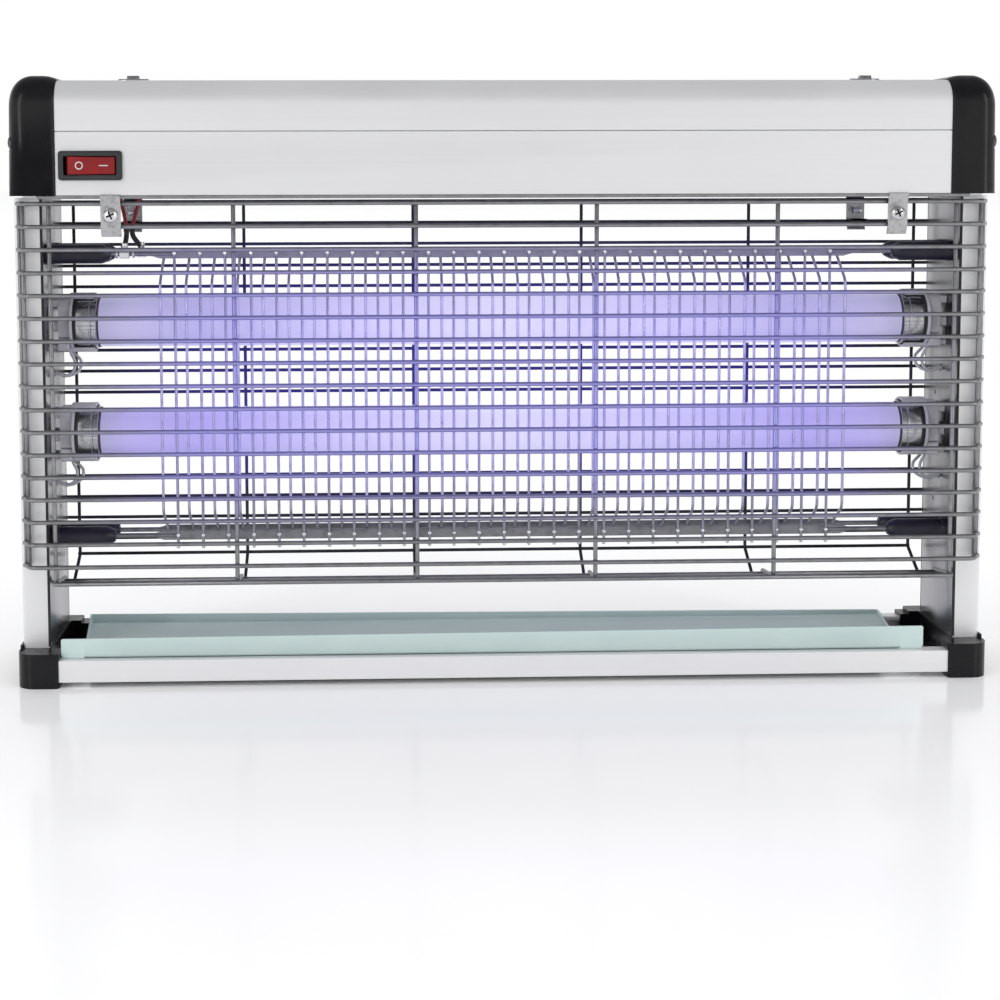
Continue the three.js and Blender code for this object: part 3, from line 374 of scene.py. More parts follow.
# Near-black fill for slots, recesses and gaps: painted shade.
RECESS_SHADE = moulded("recess shade", (0.01, 0.01, 0.011), (0.03, 0.03, 0.032), 0.6)
STEEL = plated("steel can", (0.4, 0.41, 0.42), (0.6, 0.61, 0.62), 0.4, spangle=300.0)
CEMENT = moulded("tube cement", (0.03, 0.025, 0.045), (0.06, 0.05, 0.08), 0.6)
GLASS = {
    "upper": lit_glass("upper glass", (0.43, 0.4, 0.77), (0.43, 0.41, 0.66)),
    "lower": lit_glass("lower glass", (0.4, 0.35, 0.84), (0.39, 0.35, 0.74)),
}

# ---- shapes --------------------------------------------------------------------------------------


def arc(centre, radius, start, end, steps):
    """Points of an arc between two angles in degrees, both ends included."""
    angles = [math.radians(start + (end - start) * i / steps) for i in range(steps + 1)]
    return [(centre[0] + radius * math.cos(a), centre[1] + radius * math.sin(a)) for a in angles]


def rounded_rectangle(a0, b0, a1, b1, radii, steps=6):
    """Anticlockwise outline with one radius, or one for each corner from (a0, b0) on."""
    r = radii if isinstance(radii, (list, tuple)) else [radii] * 4
    return [
        *arc((a0 + r[0], b0 + r[0]), r[0], 180, 270, steps),
        *arc((a1 - r[1], b0 + r[1]), r[1], 270, 360, steps),
        *arc((a1 - r[2], b1 - r[2]), r[2], 0, 90, steps),
        *arc((a0 + r[3], b1 - r[3]), r[3], 90, 180, steps),
    ]


def on_axis(axis, a, b, along):
    """The point (a, b) of a flat outline, at a distance along the axis it is square to."""
    return Vector({"x": (along, a, b), "y": (a, along, b), "z": (a, b, along)}[axis])


def prism(bm, outline, axis, start, end, hole=None):
    """A flat outline drawn out along an axis, with a hole of as many points if it is given."""
    loops = []
    for points in (outline, hole) if hole else (outline,):
        loops.append([[bm.verts.new(on_axis(axis, a, b, along)) for a, b in points] for along in (start, end)])
    for near, far in loops:
        for i in range(len(near)):
            j = (i + 1) % len(near)
            bm.faces.new((near[i], near[j], far[j], far[i]))
    for which in (0, 1):
        if hole:
            outer, inner = loops[0][which], loops[1][which]
            for i in range(len(outer)):
                j = (i + 1) % len(outer)
                bm.faces.new((outer[i], outer[j], inner[j], inner[i]))
        else:
            bm.faces.new(loops[0][which])


def box(bm, low, high):
    """A box between two corners."""
    outline = [(low[0], low[1]), (high[0], low[1]), (high[0], high[1]), (low[0], high[1])]
    prism(bm, outline, "z", low[2], high[2])


def ring_of(bm, centre, across, up, radius, sides):
    if radius < 1e-7:
        return [bm.verts.new(centre)]
    turn = 2 * math.pi / sides
    return [
        bm.verts.new(centre + across * (radius * math.cos(i * turn)) + up * (radius * math.sin(i * turn)))
        for i in range(sides)
    ]


def skin(bm, first, second):
    """Faces between two rings, either of which may be a single point."""
    count = max(len(first), len(second))
    for i in range(count):
        j = (i + 1) % count
        corners = [first[i % len(first)], first[j % len(first)], second[j % len(second)], second[i % len(second)]]
        unique = list(dict.fromkeys(corners))
        if len(unique) > 2:
            bm.faces.new(unique)


def sweep(bm, path, radius, sides=10):
    """A round bar along a path, with softened ends."""
    points = [Vector(p) for p in path]
    last = len(points) - 1
    along = [(points[min(i + 1, last)] - points[max(i - 1, 0)]).normalized() for i in range(last + 1)]
    soft = radius * 0.4
    stations = [(points[0], along[0], radius * 0.6), (points[0] + along[0] * soft, along[0], radius)]
    stations += [(points[i], along[i], radius) for i in range(1, last)]
    stations += [(points[last] - along[last] * soft, along[last], radius), (points[last], along[last], radius * 0.6)]
    across = along[0].orthogonal().normalized()
    rings = []
    for centre, direction, size in stations:
        across = (across - direction * across.dot(direction)).normalized()
        rings.append(ring_of(bm, centre, across, direction.cross(across), size, sides))
    for first, second in zip(rings, rings[1:]):
        skin(bm, first, second)
    bm.faces.new(rings[0])
    bm.faces.new(rings[-1])


def turn(bm, profile, origin, axis, sides=32):
    """A profile of (distance along the axis, radius) turned about the axis."""
    across = axis.orthogonal().normalized()
    up = axis.cross(across)
    rings = [ring_of(bm, origin + axis * along, across, up, radius, sides) for along, radius in profile]
    for first, second in zip(rings, rings[1:]):
        skin(bm, first, second)
    for ring in (rings[0], rings[-1]):
        if len(ring) > 2:
            bm.faces.new(ring)


def with_bends(points, radius, steps=5):
    """A path whose corners are rounded off."""
    points = [Vector(p) for p in points]
    path = [points[0]]
    for before, corner, after in zip(points, points[1:], points[2:]):
        back, on = (before - corner), (after - corner)
        reach = min(radius / math.tan(back.angle(on) / 2), back.length * 0.45, on.length * 0.45)
        start, end = corner + back.normalized() * reach, corner + on.normalized() * reach
        for i in range(steps + 1):
            t = i / steps
            path.append((1 - t) ** 2 * start + 2 * t * (1 - t) * corner + t * t * end)
    return [*path, points[-1]]


def smooth_curve(points, steps=6):
    """A Catmull-Rom curve through the points."""
    points = [Vector(p) for p in points]
    padded = [2 * points[0] - points[1], *points, 2 * points[-1] - points[-2]]
    path = []
    for p0, p1, p2, p3 in zip(padded, padded[1:], padded[2:], padded[3:]):
        for i in range(steps):
            t = i / steps
            path.append(0.5 * (2 * p1 + (p2 - p0) * t + (2 * p0 - 5 * p1 + 4 * p2 - p3) * t * t
                               + (3 * p1 - p0 - 3 * p2 + p3) * t ** 3))
    return [*path, points[-1]]


def bead(bm, centre, radius, squash=(1, 1, 1)):
    """A weld nugget."""
    rings = []
    for tilt in range(-90, 91, 30):
        around = radius * math.cos(math.radians(tilt))
        level = radius * squash[2] * math.sin(math.radians(tilt))
        middle = Vector(centre) + Z * level
        rings.append(ring_of(bm, middle, X * squash[0], Y * squash[1], 0 if abs(tilt) == 90 else around, 8))
    for first, second in zip(rings, rings[1:]):
        skin(bm, first, second)


def strip(path, width):
    """The outline of a bent strip round its centre line, for prism()."""
    points = [Vector((*p, 0)) for p in path]
    last = len(points) - 1
    near, far = [], []
    for i, point in enumerate(points):
        before = (points[max(i, 1)] - points[max(i, 1) - 1]).normalized()
        after = (points[min(i, last - 1) + 1] - points[min(i, last - 1)]).normalized()
        along = (before + after).normalized()
        offset = Vector((-along.y, along.x, 0)) * (width / 2 / along.dot(after))
        near.append((point + offset)[:2])
        far.append((point - offset)[:2])
    return near + far[::-1]


def flat_bends(path, radius, steps=5):
    return [tuple(p[:2]) for p in with_bends([(a, b, 0) for a, b in path], radius, steps)]


# ---- pieces ----------------------------------------------------------------------------------------


def piece(name, bm, look, body="frame", replaces=(), soften=0.0, segments=2, crease=40):
    """An object from a mesh in work. soften is the width of its rounded edges."""
    bmesh.ops.recalc_face_normals(bm, faces=bm.faces)
    mesh = bpy.data.meshes.new(name)
    bm.to_mesh(mesh)
    bm.free()
    mesh.materials.append(look)
    return dress(bpy.data.objects.new(name, mesh), body, replaces, soften, segments, crease)


def dress(made, body="frame", replaces=(), soften=0.0, segments=2, crease=40):
    """Links a new object, shades it and ties it to its body."""
    bpy.context.scene.collection.objects.link(made)
    made.data.shade_smooth()
    if soften:
        bevel = made.modifiers.new("softened edges", "BEVEL")
        bevel.width = soften
        bevel.segments = segments
        bevel.limit_method = "ANGLE"
        bevel.angle_limit = math.radians(crease)
        made.modifiers.new("flat faces", "WEIGHTED_NORMAL")
    else:
        made.data.set_sharp_from_angle(angle=math.radians(crease))
    if replaces:
        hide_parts(*replaces)
    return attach(made, body)


def carved(bm, cutters):
    """The mesh in work with other meshes in work cut out of it."""
    bmesh.ops.recalc_face_normals(bm, faces=bm.faces)
    whole = bpy.data.objects.new("carving", bpy.data.meshes.new("carving"))
    bm.to_mesh(whole.data)
    bm.free()
    bpy.context.scene.collection.objects.link(whole)
    tools = []
    for cutter in cutters:
        bmesh.ops.recalc_face_normals(cutter, faces=cutter.faces)
        tool = bpy.data.objects.new("cutter", bpy.data.meshes.new("cutter"))
        cutter.to_mesh(tool.data)
        cutter.free()
        bpy.context.scene.collection.objects.link(tool)
        tools.append(tool)
        modifier = whole.modifiers.new("cut", "BOOLEAN")
        modifier.operation = "DIFFERENCE"
        modifier.solver = "EXACT"
        modifier.use_self = True
        modifier.object = tool
    evaluated = whole.evaluated_get(bpy.context.evaluated_depsgraph_get())
    result = bmesh.new()
    result.from_mesh(evaluated.to_mesh())
    evaluated.to_mesh_clear()
    for made in (whole, *tools):
        bpy.data.objects.remove(made)
    return result


def cutting_box(low, high):
    bm = bmesh.new()
    box(bm, low, high)
    return bm


def cutting_rod(radius, start, end, sides=24):
    bm = bmesh.new()
    start, end = Vector(start), Vector(end)
    turn(bm, [(0, radius), ((end - start).length, radius)], start, (end - start).normalized(), sides)
    return bm


# ---- housing ---------------------------------------------------------------------------------------


def shoulders(margin, bottom, steps=12, inset=0.0, drop=0.0):
    """The housing's open (y, z) section grown by a margin, narrowed by an inset and lowered by a drop."""
    lo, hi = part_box("housing_cover")
    half, top = hi.y + margin - inset, hi.z + margin - drop
    radius = max(SHOULDER_RADIUS + margin - (inset + drop) / 2, 3 * MM)
    return [
        (-half, bottom),
        *arc((-half + radius, top - radius), radius, 180, 90, steps),
        *arc((half - radius, top - radius), radius, 90, 0, steps),
        (half, bottom),
    ]


def housing_cover():
    lo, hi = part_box("housing_cover")
    bm = bmesh.new()
    prism(bm, shoulders(0, lo.z) + shoulders(-SHEET, lo.z)[::-1], "x", lo.x, hi.x)
    piece("housing_cover_shell", bm, HOUSING, replaces=["housing_cover"],
          soften=SEAM_LIP * 0.8)


def housing_base():
    lo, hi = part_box("housing_base")
    half = hi.y
    inner = half - SHEET
    top = hi.z
    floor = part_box("ballast")[0].z - GAP
    bottom = floor - SHEET
    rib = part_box("cap_screw_front_left")
    rib_bottom, rib_top = (rib[0].z + rib[1].z) / 2 - 3 * MM, (rib[0].z + rib[1].z) / 2 + 3 * MM
    rib_in = inner - 6 * MM
    right = [(half, bottom), (half, top), (inner, top), (inner, rib_top), (rib_in, rib_top), (rib_in, rib_bottom),
             (inner, rib_bottom), (inner, floor)]
    outline = right + [(-a, b) for a, b in reversed(right)]
    bm = bmesh.new()
    prism(bm, outline, "x", lo.x, hi.x)
    switch_lo, switch_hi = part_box("switch_body")
    cutters = [cutting_box(
        (switch_lo.x + 1.5 * MM, -half - MM, switch_lo.z + 0.75 * MM),
        (switch_hi.x - 1.5 * MM, -inner + MM, switch_hi.z - 0.75 * MM))]
    gland = (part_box("power_gland")[0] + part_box("power_gland")[1]) / 2
    cutters.append(cutting_rod(5.3 * MM, (gland.x, inner - MM, gland.z), (gland.x, half + MM, gland.z)))
    for lead in ("hv_lead_front", "hv_lead_rear"):
        x, y = lead_root(lead)
        cutters.append(cutting_rod(1.8 * MM, (x, y, bottom - MM), (x, y, floor + MM)))
    bm = carved(bm, cutters)
    piece("housing_base_channel", bm, HOUSING, replaces=["housing_base"],
          soften=SEAM_LIP * 0.8, crease=50)
    for face, facing in FACES:
        seam = bmesh.new()
        wall = facing * (inner - 0.2 * MM)
        box(seam, (lo.x + MM, min(wall, wall - facing * MM), top - 2.5 * MM),
            (hi.x - MM, max(wall, wall - facing * MM), top + 3 * MM))
        piece(f"housing_seam_{face}", seam, HOUSING, soften=0.2 * MM)
        # The housing's bottom lip, drawn in the darker guard-wire look as painted shade.
        edge = bmesh.new()
        front = facing * (half + 0.35 * MM)
        foot_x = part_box("leg_right")[0].x
        box(edge, (-foot_x, min(front, front - facing * 4 * MM), bottom - 0.7 * MM),
            (foot_x, max(front, front - facing * 4 * MM), bottom + 1.1 * MM))
        piece(f"housing_edge_{face}", edge, GUARD_FRONT, soften=0.4 * MM)


def clip_tab(face, facing, hand):
    """The tab under the housing that a guard clip screws to."""
    clip_lo, clip_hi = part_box(f"guard_clip_{face}_{hand}")
    screw_lo, screw_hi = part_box(f"clip_screw_{face}_{hand}")
    hole = (screw_lo + screw_hi) / 2
    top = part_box("housing_base")[0].z + 0.4 * MM
    near, far = facing * 34.2 * MM, facing * 35.4 * MM
    bm = bmesh.new()
    prism(bm, rounded_rectangle(clip_lo.x + 0.4 * MM, hole.z - 6 * MM, clip_hi.x - 0.4 * MM, top,
                                [1.5 * MM, 1.5 * MM, 0.1 * MM, 0.1 * MM]), "y", near, far)
    bm = carved(bm, [cutting_rod(1.9 * MM, (hole.x, near - facing * MM, hole.z), (hole.x, far + facing * MM, hole.z))])
    # The tab is drawn in the darker zinc as painted shade.
    piece(f"clip_tab_{face}_{hand}", bm, ZINC_SHADED, soften=0.2 * MM, crease=50)


def lead_root(lead):
    """Where a high-voltage lead goes through the housing floor."""
    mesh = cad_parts[lead].data
    top = max(v.co.z for v in mesh.vertices)
    around = [v.co for v in mesh.vertices if v.co.z > top - 0.5 * MM]
    return sum(p.x for p in around) / len(around), sum(p.y for p in around) / len(around)


def end_cap(hand, side):
    lo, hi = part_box(f"end_cap_{hand}")
    rim = lo.x if side > 0 else hi.x
    length = hi.x - lo.x
    margin = hi.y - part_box("housing_cover")[1].y
    corner = max(CAP_TOP_CORNER, CAP_PLAN_CORNER)
    stations = [0.0, 0.4 * MM, 2 * MM, 4.5 * MM, CAP_RIM_ROLL, length - corner]
    stations += [length - corner * (1 - math.sin(math.radians(a))) for a in range(8, 85, 8)]
    stations += [length - 0.05 * MM, length]

    def rounding(left, radius):
        short = max(radius - left, 0.0)
        return radius - math.sqrt(max(radius * radius - short * short, 0.0))

    bm = bmesh.new()
    rings = []
    for station in stations:
        roll = CAP_RIM_DROP * (max(CAP_RIM_ROLL - station, 0) / CAP_RIM_ROLL) ** 2
        roll += 0.35 * MM if station == 0 else 0
        left = length - station
        outline = shoulders(margin - roll, lo.z, inset=rounding(left, CAP_PLAN_CORNER) * 0.93,
                            drop=rounding(left, CAP_TOP_CORNER))
        ring = []
        for y, z in outline:
            lean = CAP_DRAFT * (station / length) * (z - lo.z) / (hi.z - lo.z)
            ring.append(bm.verts.new((rim + side * (station - lean), y, z)))
        rings.append(ring)
    pocket = []
    for station in (0.0, CAP_POCKET):
        pocket.append([bm.verts.new((rim + side * station, y, z)) for y, z in shoulders(GAP, lo.z)])
    for first, second in [*zip(rings, rings[1:]), (rings[0], pocket[0]), (pocket[0], pocket[1])]:
        for i in range(len(first) - 1):
            bm.faces.new((first[i], first[i + 1], second[i + 1], second[i]))
    bm.faces.new(rings[-1])
    bm.faces.new(pocket[1])
    bmesh.ops.holes_fill(bm, edges=[e for e in bm.edges if e.is_boundary], sides=0)
    bmesh.ops.recalc_face_normals(bm, faces=bm.faces)
    cutters = []
    for face, _ in FACES:
        screw_lo, screw_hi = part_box(f"cap_screw_{face}_{hand}")
        middle = (screw_lo + screw_hi) / 2
        outer = screw_hi.x if side > 0 else screw_lo.x
        cutters.append(cutting_rod(4.0 * MM, (outer - side * 1.8 * MM, middle.y, middle.z),
                                   (outer + side * 3 * MM, middle.y, middle.z)))
    bm = carved(bm, cutters)
    piece(f"end_cap_{hand}_moulding", bm, BLACK, replaces=[f"end_cap_{hand}"],
          soften=0.35 * MM, crease=55)


# ---- legs, feet, rails and tray --------------------------------------------------------------------


def leg(hand, side):
    lo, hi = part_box(f"leg_{hand}")
    inner_x = lo.x if side > 0 else hi.x
    outer = rounded_rectangle(lo.x, lo.y, hi.x, hi.y, 1.1 * MM, 4)
    hollow = rounded_rectangle(lo.x + SHEET, lo.y + SHEET, hi.x - SHEET, hi.y - SHEET, 0.3 * MM, 4)
    bm = bmesh.new()
    prism(bm, outer, "z", lo.z, hi.z, hollow)
    cutters = []
    for level in LEVELS:
        middle = tube_middle(level)
        wall = (inner_x - side * MM, inner_x + side * (SHEET + MM))
        hole_z = middle.z - LAMP_LEAD_DROP
        cutters.append(cutting_rod(2.1 * MM, (wall[0], 0, hole_z), (wall[1], 0, hole_z)))
        cutters.append(cutting_rod(1.3 * MM, (wall[0], 9 * MM, hole_z - 14 * MM), (wall[1], 9 * MM, hole_z - 14 * MM)))
        for low, high in ((2.6, 12.5), (-11.5, -4.6)):
            cutters.append(cutting_box(
                (min(wall), -9.4 * MM, middle.z + low * MM), (max(wall), -3.4 * MM, middle.z + high * MM)))
    bm = carved(bm, cutters)
    made = piece(f"leg_{hand}_extrusion", bm, LEG, replaces=[f"leg_{hand}"], crease=50)
    made.data.materials.append(LEG_WALL_SHADED)
    # Inner-wall faces take slot 1, the dark aluminium that paints their shade.
    for polygon in made.data.polygons:
        if polygon.normal.x * side < -0.6 and abs(polygon.center.x - inner_x) < 0.3 * MM:
            polygon.material_index = 1


def leg_edge_shade(hand, side):
    """A dark strip of painted shade down the inner edge of a leg's front, where the gap beside it lies in shadow."""
    lo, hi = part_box(f"leg_{hand}")
    inner_x = lo.x if side > 0 else hi.x
    for face, facing in FACES:
        surface = facing * hi.y
        bm = bmesh.new()
        box(bm, (min(inner_x, inner_x + side * 1.2 * MM), min(surface + facing * 0.12 * MM, surface - facing * MM), lo.z + 14 * MM),
            (max(inner_x, inner_x + side * 1.2 * MM), max(surface + facing * 0.12 * MM, surface - facing * MM), hi.z - 0.2 * MM))
        piece(f"leg_edge_shade_{face}_{hand}", bm, RECESS_SHADE, soften=0.1 * MM)


def foot(hand, side):
    lo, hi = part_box(f"foot_{hand}")
    leg_lo, leg_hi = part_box(f"leg_{hand}")
    inner_x, outer_x = (lo.x, hi.x) if side > 0 else (hi.x, lo.x)
    corners = [2 * MM, FOOT_CORNER, FOOT_CORNER, 2 * MM]
    if side < 0:
        corners = [FOOT_CORNER, 2 * MM, 2 * MM, FOOT_CORNER]
    bm = bmesh.new()
    prism(bm, rounded_rectangle(lo.x, lo.y, hi.x, hi.y, corners, 8), "z", lo.z, hi.z)
    lip = sorted((outer_x, outer_x - side * 1.1 * MM))
    prism(bm, rounded_rectangle(lip[0], -30.5 * MM, lip[1], 30.5 * MM, 0.5 * MM, 3), "z",
          hi.z - 4 * MM, hi.z + FOOT_LIP)
    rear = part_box("bottom_rail_rear")
    sleeve = sorted((inner_x + side * MM, inner_x - side * RAIL_SLEEVE))
    box(bm, (sleeve[0], rear[0].y - 1.8 * MM, 0.6 * MM), (sleeve[1], rear[1].y + 1.4 * MM, rear[1].z + 1.8 * MM))
    step = sorted((inner_x - side * 6 * MM, inner_x + side * 5.5 * MM))
    cutters = [
        cutting_box((leg_lo.x - GAP, leg_lo.y - GAP, leg_lo.z - GAP), (leg_hi.x + GAP, leg_hi.y + GAP, hi.z + 5 * MM)),
        cutting_box((step[0], -30 * MM, 6 * MM), (step[1], 30 * MM, hi.z + 5 * MM)),
    ]
    for face, _ in FACES:
        rail_lo, rail_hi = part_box(f"bottom_rail_{face}")
        end = (rail_hi.x if side > 0 else rail_lo.x) + side * GAP
        start = inner_x - side * 8 * MM
        cutters.append(cutting_box((min(start, end), rail_lo.y - GAP, rail_lo.z - GAP),
                                   (max(start, end), rail_hi.y + GAP, rail_hi.z + GAP)))
    bm = carved(bm, cutters)
    piece(f"foot_{hand}_moulding", bm, BLACK, replaces=[f"foot_{hand}"], soften=0.8 * MM,
          segments=3, crease=50)


def bottom_rail(face, facing):
    lo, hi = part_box(f"bottom_rail_{face}")
    outer, inner = (lo.y, hi.y) if facing < 0 else (hi.y, lo.y)
    wall = outer - facing * SHEET
    bm = bmesh.new()
    prism(bm, [
        (outer, lo.z), (outer, hi.z), (inner, hi.z), (inner, hi.z - 2.2 * MM), (inner + facing * SHEET, hi.z - 2.2 * MM),
        (inner + facing * SHEET, hi.z - SHEET), (wall, hi.z - SHEET), (wall, lo.z + SHEET),
        (inner + facing * SHEET, lo.z + SHEET), (inner + facing * SHEET, lo.z + 2.2 * MM), (inner, lo.z + 2.2 * MM),
        (inner, lo.z),
    ], "x", lo.x, hi.x)
    piece(f"bottom_rail_{face}_extrusion", bm, RAIL, replaces=[f"bottom_rail_{face}"],
          soften=0.45 * MM, crease=50)


def tray():
    lo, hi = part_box("tray")
    half = TRAY_SHEET / 2
    floor = lo.z + half
    front_y, back_y = lo.y + half, hi.y - half
    inset_front, inset_back = TRAY_BODY_INSET
    back_top = floor + TRAY_BACK_WALL
    rib_rows = [(0.0, 0.0), (0.1, 0.0), (0.13, 0.7), (0.17, 0.7), (0.2, 0.0), (0.84, 0.0), (0.87, 0.7), (0.91, 0.7),
                (0.94, 0.0), (1.0, 0.0)]
    bm = bmesh.new()
    rows = []
    for share, rise in rib_rows:
        inset = inset_front + (inset_back - inset_front) * share
        left, right = lo.x + inset, hi.x - inset
        y = front_y + (back_y - front_y) * share
        ends = 14 * MM
        line = [(left, 0), (left + ends, 0), (left + ends * 1.4, rise), (right - ends * 1.4, rise), (right - ends, 0), (right, 0)]
        rows.append([bm.verts.new((x, y, floor + up * MM)) for x, up in line])
    for near, far in zip(rows, rows[1:]):
        for i in range(len(near) - 1):
            bm.faces.new((near[i], near[i + 1], far[i + 1], far[i]))

    def wall(edge, top):
        upper = [bm.verts.new((v.co.x, v.co.y, top)) for v in edge]
        for i in range(len(edge) - 1):
            bm.faces.new((edge[i], edge[i + 1], upper[i + 1], upper[i]))
        return upper

    left_edge, right_edge = [row[0] for row in rows], [row[-1] for row in rows]
    left_top = wall(left_edge, back_top)
    right_top = wall(right_edge, back_top)
    back_row = rows[-1]
    back_inner = [bm.verts.new((v.co.x, v.co.y, back_top)) for v in back_row[1:-1]]
    for vert in (*left_top, *right_top, *back_inner):
        vert.co.z -= TRAY_BACK_SINK * (vert.co.x - lo.x) / (hi.x - lo.x)
    back_upper = [left_top[-1], *back_inner, right_top[-1]]
    for i in range(len(back_row) - 1):
        bm.faces.new((back_row[i], back_row[i + 1], back_upper[i + 1], back_upper[i]))
    front_top = hi.z - 1.0 * MM
    front_row = rows[0]
    rise = TRAY_FRONT_RISE / (hi.x - lo.x)
    fronts = [bm.verts.new((v.co.x, front_y, front_top + rise * (v.co.x - lo.x))) for v in front_row]
    for i in range(len(front_row) - 1):
        bm.faces.new((front_row[i], front_row[i + 1], fronts[i + 1], fronts[i]))
    for end_x, foot_vert, top_vert in ((lo.x, front_row[0], fronts[0]), (hi.x, front_row[-1], fronts[-1])):
        inward = 1 if end_x < 0 else -1
        wing = [bm.verts.new((foot_vert.co.x - inward * 0.6 * MM, front_y, lo.z)),
                bm.verts.new((end_x + inward * 0.9 * MM, front_y, lo.z)),
                bm.verts.new((end_x, front_y, floor + 1.2 * MM)),
                bm.verts.new((end_x, front_y, front_top + rise * (end_x - lo.x)))]
        bm.faces.new((foot_vert, *wing, top_vert))
    made = piece("tray_sheet", bm, TRAY, body="tray", replaces=["tray"], crease=60)
    made.data.shade_smooth()
    bevel = made.modifiers.new("bends", "BEVEL")
    bevel.width = 1.0 * MM
    bevel.segments = 3
    bevel.limit_method = "ANGLE"
    bevel.angle_limit = math.radians(50)
    thick = made.modifiers.new("sheet", "SOLIDIFY")
    thick.thickness = TRAY_SHEET
    thick.offset = 0.0
    made.modifiers.new("flat faces", "WEIGHTED_NORMAL")
    hem = bmesh.new()
    sweep(hem, [(lo.x + 0.3 * MM, front_y + 0.15 * MM, front_top - 0.15 * MM),
                (hi.x - 0.3 * MM, front_y + 0.15 * MM, front_top + TRAY_FRONT_RISE - 0.15 * MM)], 0.6 * MM, 12)
    piece("tray_hem", hem, TRAY, body="tray")


# ---- guards ----------------------------------------------------------------------------------------


def guard(face, facing, look):
    lo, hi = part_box(f"guard_{face}")
    top = hi.z - GUARD_TOP_INSET
    run, drop = GUARD_LIPS[face]
    wire = GUARD_WIRE[face]
    wobble = random.Random(f"guard {face}")
    bm = bmesh.new()
    ends = [(GUARD_END[0], GUARD_END[1]), (GUARD_BEND[0], GUARD_BEND[1])]
    rows = [top - GUARD_PITCH * i for i in range(GUARD_ROWS)]
    for z in rows:
        z += wobble.uniform(-0.12, 0.12) * MM
        corners = [(-ends[0][0], facing * ends[0][1], z), (-ends[1][0], facing * ends[1][1], z),
                   (ends[1][0], facing * ends[1][1], z), (ends[0][0], facing * ends[0][1], z)]
        sweep(bm, with_bends(corners, 4 * MM), wire, 12)
    lip_end = facing * (GUARD_UPRIGHT_Y - run)
    for x in GUARD_UPRIGHTS:
        x += wobble.uniform(-0.2, 0.2) * MM
        path = with_bends([(x, facing * GUARD_UPRIGHT_Y, top + wire), (x, facing * GUARD_UPRIGHT_Y, GUARD_EDGE_Z),
                           (x, lip_end, GUARD_EDGE_Z - drop)], 3.2 * MM)
        sweep(bm, path, wire, 12)
        for z in rows:
            bead(bm, (x, facing * (GUARD_Y + GUARD_UPRIGHT_Y) / 2, z), wire * 1.12, (1.25, 0.8, 1.1))
    for _, side in SIDES:
        for reach_x, reach_y in (
            (GUARD_END[0] - 2.9 * MM, GUARD_END[1] + 2.4 * MM),
            (GUARD_END[0] - 1.0 * MM, GUARD_END[1] - 0.9 * MM),
        ):
            lean = wobble.uniform(-0.2, 0.2) * MM
            sweep(bm, [(side * reach_x, facing * reach_y, rows[-1] - 1.2 * MM),
                       (side * (reach_x + lean), facing * reach_y, rows[0] + 1.2 * MM)], wire, 12)
            for z in rows:
                bead(bm, (side * (reach_x + 0.4 * MM), facing * (reach_y + 0.7 * MM), z), wire * 1.1)
    for share in (0.0, 0.5, 0.96):
        y = facing * (GUARD_Y if share == 0 else GUARD_UPRIGHT_Y - run * share)
        z = GUARD_EDGE_Z - drop * share + (0 if share == 0 else facing * wire * 1.5)
        sweep(bm, [(-GUARD_EDGE_HALF, y, z), (GUARD_EDGE_HALF, y, z)], wire, 12)
    piece(f"guard_{face}_wires", bm, look, replaces=[f"guard_{face}"], crease=60)


def guard_clip(face, facing, hand):
    lo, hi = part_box(f"guard_clip_{face}_{hand}")
    screw = (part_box(f"clip_screw_{face}_{hand}")[0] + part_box(f"clip_screw_{face}_{hand}")[1]) / 2
    plate_y = facing * 41.9 * MM
    path = flat_bends([(plate_y + facing * 2.3 * MM, hi.z - 0.2 * MM), (plate_y, hi.z - 5.2 * MM),
                       (plate_y, hi.z - 15.7 * MM), (plate_y - facing * 2.4 * MM, lo.z + 0.2 * MM)], 1.6 * MM, 4)
    bm = bmesh.new()
    prism(bm, strip(path, CLIP_SHEET), "x", lo.x, hi.x)
    bm = carved(bm, [cutting_rod(1.9 * MM, (screw.x, plate_y - 3 * MM, screw.z), (screw.x, plate_y + 3 * MM, screw.z))])
    piece(f"guard_clip_{face}_{hand}_strip", bm, ZINC, replaces=[f"guard_clip_{face}_{hand}"],
          soften=0.22 * MM, crease=50)


def screw_mesh():
    """A cross-head screw along +X, its head's face at 0."""
    bm = bmesh.new()
    turn(bm, [(-2.3 * MM, 3.55 * MM), (-1.5 * MM, 3.6 * MM), (-0.75 * MM, 3.05 * MM), (-0.25 * MM, 2.0 * MM), (0, 0.9 * MM)],
         Vector((0, 0, 0)), X, 36)
    cutters = []
    for spread_y, spread_z in ((2.1, 0.42), (0.42, 2.1)):
        cutter = bmesh.new()
        prism(cutter, rounded_rectangle(-spread_y * MM, -spread_z * MM, spread_y * MM, spread_z * MM, 0.2 * MM, 3),
              "x", -1.35 * MM, 0.6 * MM)
        cutters.append(cutter)
    head = carved(bm, cutters)
    # Faces in the cross slot take slot 1, the painted recess shade.
    for face in head.faces:
        face.normal_update()
        middle = face.calc_center_median()
        in_cross = math.hypot(middle.y, middle.z) < 2.2 * MM and -1.4 * MM < middle.x
        if in_cross and (abs(face.normal.x) < 0.2 or middle.x < -1.3 * MM):
            face.material_index = 1
    return head


